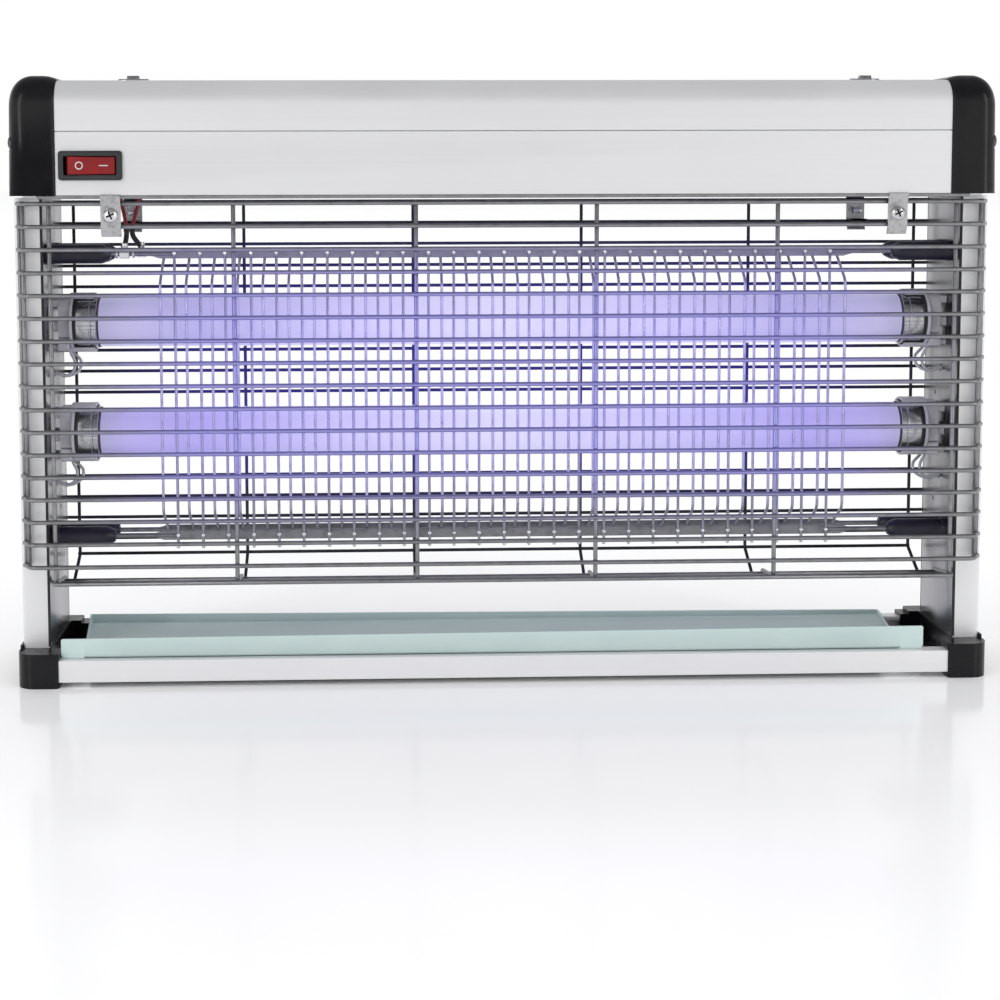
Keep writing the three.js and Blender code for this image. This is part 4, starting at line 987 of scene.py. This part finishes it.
def screw(name, tip, axis, shank_end, look):
    """A screw whose head's face is at the tip, with its shank to shank_end along the axis."""
    bm = screw_mesh()
    length = (tip - shank_end).length
    thread = [(-2.0 * MM, 1.45 * MM)]
    pitch = 0.8 * MM
    along = -2.4 * MM
    while along > -length + 1.2 * MM:
        thread += [(along, 1.5 * MM), (along - pitch * 0.4, 1.22 * MM), (along - pitch * 0.6, 1.22 * MM)]
        along -= pitch
    thread += [(-length + 0.9 * MM, 1.2 * MM), (-length, 0.5 * MM)]
    turn(bm, thread, Vector((0, 0, 0)), X, 16)
    turned = Matrix.Translation(tip) @ X.rotation_difference(axis).to_matrix().to_4x4()
    bmesh.ops.transform(bm, matrix=turned @ Matrix.Rotation(math.radians(24), 4, "X"), verts=bm.verts)
    made = piece(f"{name}_threaded", bm, look, replaces=[name], crease=35)
    made.data.materials.append(RECESS_SHADE)


def clip_screw(face, facing, hand):
    lo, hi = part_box(f"clip_screw_{face}_{hand}")
    middle = (lo + hi) / 2
    tip_y, end_y = (lo.y, hi.y) if facing < 0 else (hi.y, lo.y)
    screw(f"clip_screw_{face}_{hand}", Vector((middle.x, tip_y, middle.z)), Y * facing,
          Vector((middle.x, end_y, middle.z)), CHROME)


def cap_screw(face, hand, side):
    lo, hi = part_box(f"cap_screw_{face}_{hand}")
    middle = (lo + hi) / 2
    tip_x, end_x = (hi.x, lo.x) if side > 0 else (lo.x, hi.x)
    # Cap screws are drawn in the darker zinc as painted shade.
    screw(f"cap_screw_{face}_{hand}", Vector((tip_x, middle.y, middle.z)), X * side,
          Vector((end_x, middle.y, middle.z)), ZINC_SHADED)


# ---- high-voltage grid -------------------------------------------------------------------------------


def rail_lines(node):
    """(y, z) of the two rails of an electrode, from the insulators that hold them."""
    rows = []
    for level in ("top", "bottom"):
        lo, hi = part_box(f"insulator_{node}_{level}_left")
        rows.append(((lo.y + hi.y) / 2, (lo.z + hi.z) / 2))
    return rows


def grid_rail(bm, y, z):
    half, tall = GRID_RAIL_HALF, GRID_RAIL_HEIGHT / 2
    prism(bm, [(-half, z - tall), (half, z - tall), (half + GRID_RAIL_SLANT, z - 0.6 * MM),
               (half + GRID_RAIL_SLANT, z + 0.6 * MM), (half, z + tall), (-half, z + tall),
               (-half - GRID_RAIL_SLANT, z + 0.6 * MM), (-half - GRID_RAIL_SLANT, z - 0.6 * MM)],
          "y", y - GRID_RAIL_THICKNESS / 2, y + GRID_RAIL_THICKNESS / 2)
    for _, side in SIDES:
        sweep(bm, [(side * (half - 8 * MM), y, z), (side * 211 * MM, y, z)], GRID_ROD, 12)


def electrode_straight():
    wobble = random.Random("straight")
    (y, top), (_, bottom) = rail_lines("front")
    lo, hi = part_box("electrode_straight")
    wire_y = y - GRID_RAIL_THICKNESS / 2 - GRID_WIRE + 0.25 * MM
    bm, rails, weld_glints = bmesh.new(), bmesh.new(), bmesh.new()
    grid_rail(rails, y, top)
    grid_rail(rails, y, bottom)
    count = 27
    for i in range(count):
        x = (i - (count - 1) / 2) * GRID_PITCH
        low_x, high_x = (x + wobble.uniform(-0.15, 0.15) * MM for _ in range(2))
        sweep(bm, [(low_x, wire_y, lo.z), (high_x, wire_y, hi.z)], GRID_WIRE, 10)
        # Beads at the wire tips and on the lower rail, painted bright as glints.
        for place in ((high_x, wire_y - 0.2 * MM, top + 0.2 * MM), (low_x, wire_y, lo.z + 0.9 * MM)):
            bead(weld_glints, place, GRID_WIRE * 1.45, (1, 1, 1.4))
        bead(weld_glints, (low_x, wire_y, bottom), GRID_WIRE * 1.25, (1.2, 0.9, 1.5))
    piece("electrode_straight_wires", bm, GRID, replaces=["electrode_straight"], crease=50)
    piece("electrode_straight_rails", rails, GRID_RAIL, soften=0.3 * MM, crease=50)
    piece("electrode_straight_welds", weld_glints, WELD_GLINT)


def electrode_hooked():
    wobble = random.Random("hooked")
    (y, top), (_, bottom) = rail_lines("rear")
    lo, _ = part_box("electrode_hooked")
    wire_y = lo.y + GRID_WIRE
    bm, rails = bmesh.new(), bmesh.new()
    grid_rail(rails, y, top)
    grid_rail(rails, y, bottom)
    count = 28
    for i in range(count):
        x = (i - (count - 1) / 2) * GRID_PITCH + wobble.uniform(-0.15, 0.15) * MM
        path = with_bends([(x, y + 0.6 * MM, top + 1.4 * MM), (x, wire_y, HOOK_BENDS[0]), (x, wire_y, HOOK_BENDS[1]),
                           (x, y + 0.6 * MM, bottom - 1.4 * MM)], 6 * MM)
        sweep(bm, path, GRID_WIRE, 10)
        for z in (top, bottom):
            bead(bm, (x, y - GRID_RAIL_THICKNESS / 2, z), GRID_WIRE * 1.3, (1.1, 1, 1.2))
    piece("electrode_hooked_wires", bm, GRID, replaces=["electrode_hooked"], crease=50)
    piece("electrode_hooked_rails", rails, GRID_RAIL, soften=0.3 * MM, crease=50)


def insulator(row, level, hand, side):
    name = f"insulator_{row}_{level}_{hand}"
    lo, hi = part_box(name)
    middle = (lo + hi) / 2
    tip, root = (lo.x, hi.x) if side > 0 else (hi.x, lo.x)
    radius = (hi.z - lo.z) / 2
    length = hi.x - lo.x
    bm = bmesh.new()
    turn(bm, [(14 * MM, 0), (14 * MM, 1.7 * MM), (0.4 * MM, 1.7 * MM), (0, 2.0 * MM), (0, radius * 0.56), (0.5 * MM, radius * 0.64),
              (3.4 * MM, radius * 0.94), (4.4 * MM, radius), (length - 4 * MM, radius),
              (length - 3.6 * MM, radius * 1.06), (length, radius * 1.06), (length, 0)],
         Vector((tip, middle.y, middle.z)), X * side, 40)
    piece(f"{name}_turned", bm, INSULATOR_GLOW_TINTED, replaces=[name], crease=32)


# ---- tubes, lampholders and their leads --------------------------------------------------------------


def tube(level):
    middle = tube_middle(level)
    glass_lo, glass_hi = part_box(f"tube_{level}_glass")
    radius = (glass_hi.z - glass_lo.z) / 2
    body = f"tube_{level}"
    bm = bmesh.new()
    neck = 4 * MM
    turn(bm, [(-glass_hi.x, 0), (-glass_hi.x, radius * 0.8), (-glass_hi.x + neck * 0.4, radius * 0.95), (-glass_hi.x + neck, radius),
              (glass_hi.x - neck, radius), (glass_hi.x - neck * 0.4, radius * 0.95), (glass_hi.x, radius * 0.8), (glass_hi.x, 0)],
         middle, X, 64)
    piece(f"{body}_glass_lit", bm, GLASS[level], body=body, replaces=[f"{body}_glass"], crease=40)
    for hand, side in SIDES:
        cap_lo, cap_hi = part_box(f"{body}_cap_{hand}")
        face = (cap_hi.x - PIN_LENGTH) if side > 0 else (cap_lo.x + PIN_LENGTH)
        mouth = face - side * TUBE_CAP_LENGTH
        cap_radius = (cap_hi.z - cap_lo.z) / 2
        bm = bmesh.new()
        turn(bm, [(0, radius + 0.1 * MM), (0, cap_radius - 0.35 * MM), (0.4 * MM, cap_radius), (2.6 * MM, cap_radius),
                  (3.0 * MM, cap_radius - 0.3 * MM), (3.5 * MM, cap_radius - 0.3 * MM), (3.9 * MM, cap_radius),
                  (10.9 * MM, cap_radius), (11.7 * MM, cap_radius - 0.3 * MM), (12.2 * MM, cap_radius - 1.0 * MM),
                  (12.4 * MM, cap_radius - 2.0 * MM), (12.1 * MM, cap_radius - 3.4 * MM), (12.1 * MM, 0)],
             Vector((mouth, middle.y, middle.z)), X * side, 64)
        for up in (-1, 1):
            turn(bm, [(11.9 * MM, 1.9 * MM), (12.6 * MM, 1.8 * MM), (12.7 * MM, 1.18 * MM),
                      (TUBE_CAP_LENGTH + PIN_LENGTH - 0.8 * MM, 1.18 * MM), (TUBE_CAP_LENGTH + PIN_LENGTH, 0.5 * MM)],
                 Vector((mouth, middle.y, middle.z + up * PIN_SPACING / 2)), X * side, 20)
        piece(f"{body}_cap_{hand}_spun", bm, CAP_METAL, body=body, replaces=[f"{body}_cap_{hand}"], crease=28)
        seal = bmesh.new()
        turn(seal, [(-1.0 * MM, radius + 0.02 * MM), (-0.7 * MM, radius + 0.25 * MM), (0.2 * MM, radius + 0.3 * MM),
                    (0.3 * MM, radius - 0.3 * MM), (-1.0 * MM, radius - 0.3 * MM)],
             Vector((mouth, middle.y, middle.z)), X * side, 48)
        piece(f"{body}_seal_{hand}", seal, CEMENT, body=body, crease=50)


def lampholder(level, hand, side):
    name = f"lampholder_{level}_{hand}"
    lo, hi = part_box(name)
    middle = (lo + hi) / 2
    face, back = (lo.x, hi.x) if side > 0 else (hi.x, lo.x)
    axis_z = tube_middle(level).z
    body_back = back - side * 3.4 * MM
    bm = bmesh.new()

    def slab(outline, start, end):
        prism(bm, outline, "x", min(start, end), max(start, end))

    slab(rounded_rectangle(-10.6 * MM, axis_z - 7 * MM, 10.6 * MM, axis_z + 13.6 * MM, [1 * MM, 1 * MM, 7 * MM, 7 * MM], 8),
         face, body_back)
    slab(rounded_rectangle(-11 * MM, axis_z - 14 * MM, 11 * MM, axis_z - 7.4 * MM, 1.2 * MM, 4), face + side * 0.8 * MM, body_back)
    slab(rounded_rectangle(-8.6 * MM, axis_z - 8.2 * MM, 8.6 * MM, axis_z - 6 * MM, 0.4 * MM, 3), face + side * 0.6 * MM, body_back)
    for low, high in ((-3.6, 1.2), (8.2, 12.0), (-13.2, -10.6)):
        slab(rounded_rectangle(-9.4 * MM, axis_z + low * MM, 9.4 * MM, axis_z + high * MM, 0.8 * MM, 3),
             body_back - side * 0.5 * MM, back)
    bm = carved(bm, [cutting_rod(9.2 * MM, (face - side * MM, 0, axis_z), (face + side * 7.4 * MM, 0, axis_z), 40)])
    holder = piece(f"{name}_moulding", bm, HOLDER_GLOW_TINTED, replaces=[name], soften=0.4 * MM, crease=50)
    cradle = bmesh.new()
    rim = tube_middle(level)
    turn(cradle, [(-1.0 * MM, 13.7 * MM), (-1.0 * MM, 14.6 * MM), (0.5 * MM, 14.8 * MM), (0.5 * MM, 13.7 * MM),
                  (-1.0 * MM, 13.7 * MM)], Vector((face, 0, rim.z)), X * side, 48)
    # A dark ring in the holder's mouth, in the painted recess shade.
    dark_ring = bmesh.new()
    turn(dark_ring, [(-2.6 * MM, 12.4 * MM), (-2.6 * MM, 13.7 * MM), (-2.3 * MM, 13.9 * MM), (-0.8 * MM, 13.9 * MM),
                  (-0.8 * MM, 12.4 * MM), (-2.6 * MM, 12.4 * MM)], Vector((face, 0, rim.z)), X * side, 48)
    piece(f"{name}_gasket", dark_ring, RECESS_SHADE, crease=50)
    inner, outer = 13.85 * MM, 15.2 * MM
    arch = arc((0, axis_z), outer, -118, 118, 28) + arc((0, axis_z), inner, 118, -118, 28)
    prism(cradle, arch, "x", *sorted((face + side * 1.5 * MM, face - side * 11.4 * MM)))
    made = piece(f"{name}_cradle", cradle, HOLDER_GLOW_TINTED, soften=0.35 * MM, crease=50)
    return holder, made, middle


def lamp_lead(level, hand, side):
    name = f"lamp_lead_{level}_{hand}"
    holder_lo, holder_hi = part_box(f"lampholder_{level}_{hand}")
    hole_z = tube_middle(level).z - LAMP_LEAD_DROP
    leg_lo, leg_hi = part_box(f"leg_{hand}")
    wall = leg_lo.x if side > 0 else -leg_hi.x
    bm = bmesh.new()
    for offset, sway in ((-1.6, 0.0), (1.5, 2.4)):
        path = smooth_curve([
            (side * (wall - 8.5 * MM), offset * 2.2 * MM, holder_lo.z + 1.5 * MM),
            (side * (wall - 8.8 * MM), offset * 2.0 * MM, holder_lo.z - 1.5 * MM),
            (side * (wall - (10.6 + sway) * MM), offset * 1.4 * MM, holder_lo.z - 6 * MM),
            (side * (wall - (9.6 + sway) * MM), offset * 1.0 * MM, hole_z + 1.0 * MM),
            (side * (wall - (5.4 + sway * 0.6) * MM), offset * 0.7 * MM, hole_z - 1.6 * MM),
            (side * (wall - 2.0 * MM), offset * 0.6 * MM, hole_z - 0.4 * MM),
            (side * (wall + 3.2 * MM), offset * 0.55 * MM, hole_z),
        ], 6)
        sweep(bm, path, 0.78 * MM, 12)
    piece(f"{name}_pair", bm, WHITE_LEAD, replaces=[name], crease=60)


# ---- switch, hangers and leads -----------------------------------------------------------------------


def switch():
    lo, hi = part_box("switch_body")
    middle = (lo + hi) / 2
    front = lo.y
    rocker_lo, rocker_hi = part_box("switch_rocker")
    wall_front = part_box("housing_base")[0].y
    plate_back = wall_front - GAP
    bm = bmesh.new()
    prism(bm, rounded_rectangle(lo.x, lo.z, hi.x, hi.z, 1.6 * MM, 6), "y", front + 0.55 * MM, plate_back)
    prism(bm, rounded_rectangle(lo.x + 0.7 * MM, lo.z + 0.7 * MM, hi.x - 0.7 * MM, hi.z - 0.7 * MM, 1.2 * MM, 6),
          "y", front, front + 0.8 * MM)
    prism(bm, rounded_rectangle(middle.x - 13.7 * MM, middle.z - 6.1 * MM, middle.x + 13.7 * MM, middle.z + 6.1 * MM,
                                0.4 * MM, 3), "y", plate_back - 0.5 * MM, hi.y)
    well = bmesh.new()
    prism(well, rounded_rectangle(middle.x - 12.8 * MM, middle.z - 4.6 * MM, middle.x + 12.8 * MM, middle.z + 4.6 * MM,
                                  0.5 * MM, 4), "y", front - 2 * MM, hi.y - 3 * MM)
    bm = carved(bm, [well])
    piece("switch_body_moulding", bm, DARK_FRAME, replaces=["switch_body"], soften=0.3 * MM,
          crease=35)

    pivot = Vector((middle.x, -38.4 * MM, middle.z))
    half, tilt, front_face = 10.9 * MM, math.radians(8), -6 * MM
    rise = half * math.tan(tilt)
    bm = bmesh.new()
    steps = 8
    crown = [(-half + half * i / steps, front_face - rise * (1 - i / steps) + 0.5 * MM * math.sin(math.pi * i / steps))
             for i in range(steps + 1)]
    corner = math.hypot(half, front_face - rise)
    lean = math.degrees(math.atan2(half, -(front_face - rise)))
    skirt = [(a, b) for a, b in arc((0, 0), corner, lean - 90, lean - 81, 3)][1:]
    outline = crown + [(-a, b) for a, b in crown[-2::-1]] + skirt
    outline += [(3 * MM, 3.4 * MM), (-3 * MM, 3.4 * MM)] + [(-a, b) for a, b in reversed(skirt)]
    prism(bm, [(a, b) for a, b in outline], "z", rocker_lo.z - pivot.z, rocker_hi.z - pivot.z)
    at_rest = Matrix.Translation(pivot) @ Matrix.Rotation(tilt, 4, "Z")
    bmesh.ops.transform(bm, matrix=at_rest, verts=bm.verts)
    piece("switch_rocker_moulding", bm, RED, body="rocker", replaces=["switch_rocker"],
          soften=0.35 * MM, crease=40)
    marks = bmesh.new()
    shallow = front_face - rise / 2 + 0.35 * MM
    ring_x, dash_x = -6.1 * MM, 5.6 * MM
    prism(marks, arc((ring_x, 0), 1.9 * MM, 0, 360 - 12, 29), "y", shallow - 0.2 * MM, shallow + 0.5 * MM,
          arc((ring_x, 0), 1.45 * MM, 0, 360 - 12, 29))
    for vert in marks.verts:
        vert.co.y += (vert.co.x - ring_x) * math.tan(tilt)
    dash = bmesh.new()
    prism(dash, rounded_rectangle(dash_x - 2.2 * MM, -0.22 * MM, dash_x + 2.2 * MM, 0.22 * MM, 0.15 * MM, 3), "y",
          shallow - 0.2 * MM, shallow + 0.5 * MM)
    for vert in dash.verts:
        vert.co.y -= (vert.co.x - dash_x) * math.tan(tilt)
    for name, shape in (("switch_mark_off", marks), ("switch_mark_on", dash)):
        bmesh.ops.transform(shape, matrix=at_rest, verts=shape.verts)
        piece(name, shape, MARK, body="rocker", crease=40)


def hanger(hand):
    lo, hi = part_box(f"hanger_{hand}")
    middle = (lo + hi) / 2
    ring_lo, ring_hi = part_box(f"hanger_ring_{hand}")
    base, strap = lo.z, HANGER_STRAP
    axis_z = ring_lo.z + 0.9 * MM
    tunnel = 1.5 * MM
    outer = [(hi.y, base), (hi.y, base + strap), (tunnel + strap + 0.8 * MM, base + strap),
             *arc((0, axis_z), tunnel + strap, 0, 180, 12), (-tunnel - strap - 0.8 * MM, base + strap), (lo.y, base + strap),
             (lo.y, base), (-tunnel, base), *arc((0, axis_z), tunnel, 180, 0, 12), (tunnel, base)]
    bm = bmesh.new()
    prism(bm, outer, "x", lo.x, hi.x)
    for end in (-1, 1):
        rivet = Vector((middle.x, end * (hi.y - 1.5 * MM), base + strap - 0.05 * MM))
        turn(bm, [(0, 1.2 * MM), (0.35 * MM, 1.1 * MM), (0.7 * MM, 0.6 * MM), (0.8 * MM, 0)], rivet, Z, 20)
    piece(f"hanger_{hand}_strap", bm, ZINC, replaces=[f"hanger_{hand}"], soften=0.15 * MM, crease=50)
    ring = bmesh.new()
    reach = 7 * MM
    sweep(ring, [(middle.x - reach - 0.6 * MM, 0, axis_z), (middle.x + reach + 0.6 * MM, 0, axis_z)], 0.9 * MM, 14)
    bow = [Vector((middle.x + reach * math.cos(math.pi * i / 24), reach * math.sin(math.pi * i / 24), axis_z)) for i in range(25)]
    sweep(ring, bow, 0.9 * MM, 14)
    piece(f"hanger_ring_{hand}_wire", ring, CHROME, body=f"ring_{hand}", replaces=[f"hanger_ring_{hand}"],
          crease=50)


def hv_lead(lead, row):
    root_x, root_y = lead_root(lead)
    lo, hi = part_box(lead)
    rail_y, rail_z = rail_lines(row)[0]
    rod_x = -190.6 * MM if row == "front" else -184.2 * MM
    tie_x = -190.0 * MM if row == "front" else -187.9 * MM
    path = smooth_curve([
        (root_x, root_y, hi.z), (root_x, root_y, 241.5 * MM),
        ((root_x + tie_x) / 2, (root_y * 3 + rail_y) / 4, 235.5 * MM),
        (tie_x, (root_y + rail_y) / 2, 228.5 * MM), (tie_x, (root_y + rail_y) / 2, 224.5 * MM),
        ((tie_x + rod_x) / 2, (root_y + 3 * rail_y) / 4, 221 * MM), (rod_x, rail_y, rail_z + 3 * MM),
    ], 8)
    split = next(i for i, p in enumerate(path) if p.z < 229 * MM)
    bm = bmesh.new()
    sweep(bm, path[:split + 2], 0.95 * MM, 14)
    piece(f"{lead}_wire", bm, RED_LEAD, replaces=[lead], crease=60)
    bm = bmesh.new()
    sweep(bm, path[split:], 1.3 * MM, 14)
    piece(f"{lead}_sleeve", bm, SLEEVE, crease=60)
    bm = bmesh.new()
    rod = Vector((rod_x, rail_y, rail_z))
    bore = GRID_ROD + 0.05 * MM
    turn(bm, [(-2.6 * MM, bore), (-2.6 * MM, 2.2 * MM), (-2.2 * MM, 2.6 * MM), (2.2 * MM, 2.6 * MM), (2.6 * MM, 2.2 * MM), (2.6 * MM, bore)],
         rod, X, 6)
    turn(bm, [(0, 1.5 * MM), (0.4 * MM, 1.75 * MM), (3.4 * MM, 1.75 * MM), (3.8 * MM, 1.5 * MM)], rod + Z * 1.6 * MM, Z, 18)
    for shift, size in ((-4.2, 2.4), (4.0, 2.1)):
        turn(bm, [(0, bore), (0, size * MM), (1.1 * MM, size * MM), (1.1 * MM, bore)], rod + X * shift * MM, X, 24)
    piece(f"{lead}_terminal", bm, CHROME, soften=0.15 * MM, crease=40)


def gland():
    lo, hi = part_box("power_gland")
    middle = (lo + hi) / 2
    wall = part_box("housing_base")[1].y + GAP
    bm = bmesh.new()
    turn(bm, [(lo.y, 3.4 * MM), (lo.y, 4.9 * MM), (wall, 5.0 * MM), (wall, 7.2 * MM), (wall + 0.4 * MM, 7.5 * MM),
              (wall + 1.7 * MM, 7.5 * MM), (wall + 2.1 * MM, 7.1 * MM), (wall + 2.3 * MM, 5.4 * MM), (hi.y - 0.5 * MM, 5.1 * MM),
              (hi.y, 4.7 * MM), (hi.y, 3.9 * MM), (hi.y - 0.6 * MM, 3.4 * MM), (lo.y, 3.4 * MM)],
         Vector((middle.x, 0, middle.z)), Y, 48)
    piece("power_gland_bushing", bm, BLACK, replaces=["power_gland"], crease=35)


housing_cover()
housing_base()
tray()
guard("front", -1, GUARD_FRONT)
guard("rear", 1, GUARD_REAR_SHADED)
electrode_straight()
electrode_hooked()
switch()
gland()
hv_lead("hv_lead_front", "front")
hv_lead("hv_lead_rear", "rear")
for hand, side in SIDES:
    end_cap(hand, side)
    leg(hand, side)
    leg_edge_shade(hand, side)
    foot(hand, side)
    hanger(hand)
    for row in ("front", "rear"):
        for level in ("top", "bottom"):
            insulator(row, level, hand, side)
    for level in LEVELS:
        lampholder(level, hand, side)
        lamp_lead(level, hand, side)
    for face, facing in FACES:
        guard_clip(face, facing, hand)
        clip_tab(face, facing, hand)
        clip_screw(face, facing, hand)
        cap_screw(face, hand, side)
for face, facing in FACES:
    bottom_rail(face, facing)
for level in LEVELS:
    tube(level)
for inside in ("ballast", "hv_transformer"):
    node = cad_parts[inside]
    node.data.materials.clear()
    node.data.materials.append(STEEL)

# ---- studio ------------------------------------------------------------------------------------------


def floor():
    bm = bmesh.new()
    bmesh.ops.create_grid(bm, x_segments=8, y_segments=8, size=40.0)
    mesh = bpy.data.meshes.new("floor")
    bm.to_mesh(mesh)
    bm.free()
    look, nodes, links, shader = bare_look("floor")
    clouds = noise(nodes, links, stretched(nodes, links, (1, 1, 1)), 3.0, 3.0)
    links.new(ramp(nodes, links, clouds, [(0.3, (0.93, 0.93, 0.93)), (0.7, (0.95, 0.95, 0.95))]),
              shader.inputs["Base Color"])
    shader.inputs["Roughness"].default_value = 0.12
    shader.inputs["Specular IOR Level"].default_value = 0.4
    mesh.materials.append(look)
    made = bpy.data.objects.new("floor", mesh)
    bpy.context.scene.collection.objects.link(made)


def softbox(name, place, target, size, power, seen_in_gloss=True, colour=(1, 1, 1)):
    data = bpy.data.lights.new(name, "AREA")
    data.shape = "RECTANGLE"
    data.size, data.size_y = size
    data.energy = power
    data.color = colour
    made = bpy.data.objects.new(name, data)
    made.location = place
    made.rotation_euler = (Vector(target) - Vector(place)).to_track_quat("-Z", "Y").to_euler()
    made.visible_camera = False
    made.visible_glossy = seen_in_gloss
    bpy.context.scene.collection.objects.link(made)


def skylight(strength):
    """Soft light straight down, the same over all of the floor."""
    data = bpy.data.lights.new("skylight", "SUN")
    data.energy = strength
    data.angle = math.radians(100)
    made = bpy.data.objects.new("skylight", data)
    made.visible_glossy = False
    bpy.context.scene.collection.objects.link(made)


def studio_world():
    """White at and below the horizon, dimmer overhead, the same all round."""
    world = bpy.data.worlds.new("studio")
    world.use_nodes = True
    nodes, links = world.node_tree.nodes, world.node_tree.links
    where = nodes.new("ShaderNodeTexCoord")
    parts = nodes.new("ShaderNodeSeparateXYZ")
    links.new(where.outputs["Generated"], parts.inputs["Vector"])
    sky = ramp(nodes, links, parts.outputs["Z"], [
        (0.0, (1, 1, 1)), (0.2, (1, 1, 1)), (0.45, (0.35, 0.35, 0.36)), (1.0, (0.25, 0.25, 0.26))])
    links.new(sky, nodes["Background"].inputs["Color"])
    nodes["Background"].inputs["Strength"].default_value = 1.0
    bpy.context.scene.world = world


floor()
studio_world()
softbox("left box", (-1.5, -1.5, 0.9), (-0.1, 0, 0.15), (0.32, 1.4), 8)
softbox("right box", (1.6, -1.4, 0.8), (0.1, 0, 0.15), (0.32, 1.4), 7)
skylight(2.1)

camera_data = bpy.data.cameras.new("camera")
camera_data.lens = 67.8
camera_data.sensor_width = 36
camera_data.shift_x = 0.0488
camera_data.shift_y = -0.1562
camera_data.clip_end = 100
camera = bpy.data.objects.new("camera", camera_data)
camera.location = (-0.0625, -0.9681, 0.2525)
level = Euler((math.radians(84.99), 0, math.radians(-2.15))).to_matrix()
camera.rotation_euler = (level @ Matrix.Rotation(math.radians(-0.15), 3, "Z")).to_euler()
bpy.context.scene.collection.objects.link(camera)
bpy.context.scene.camera = camera
bpy.context.scene.view_settings.view_transform = "Standard"
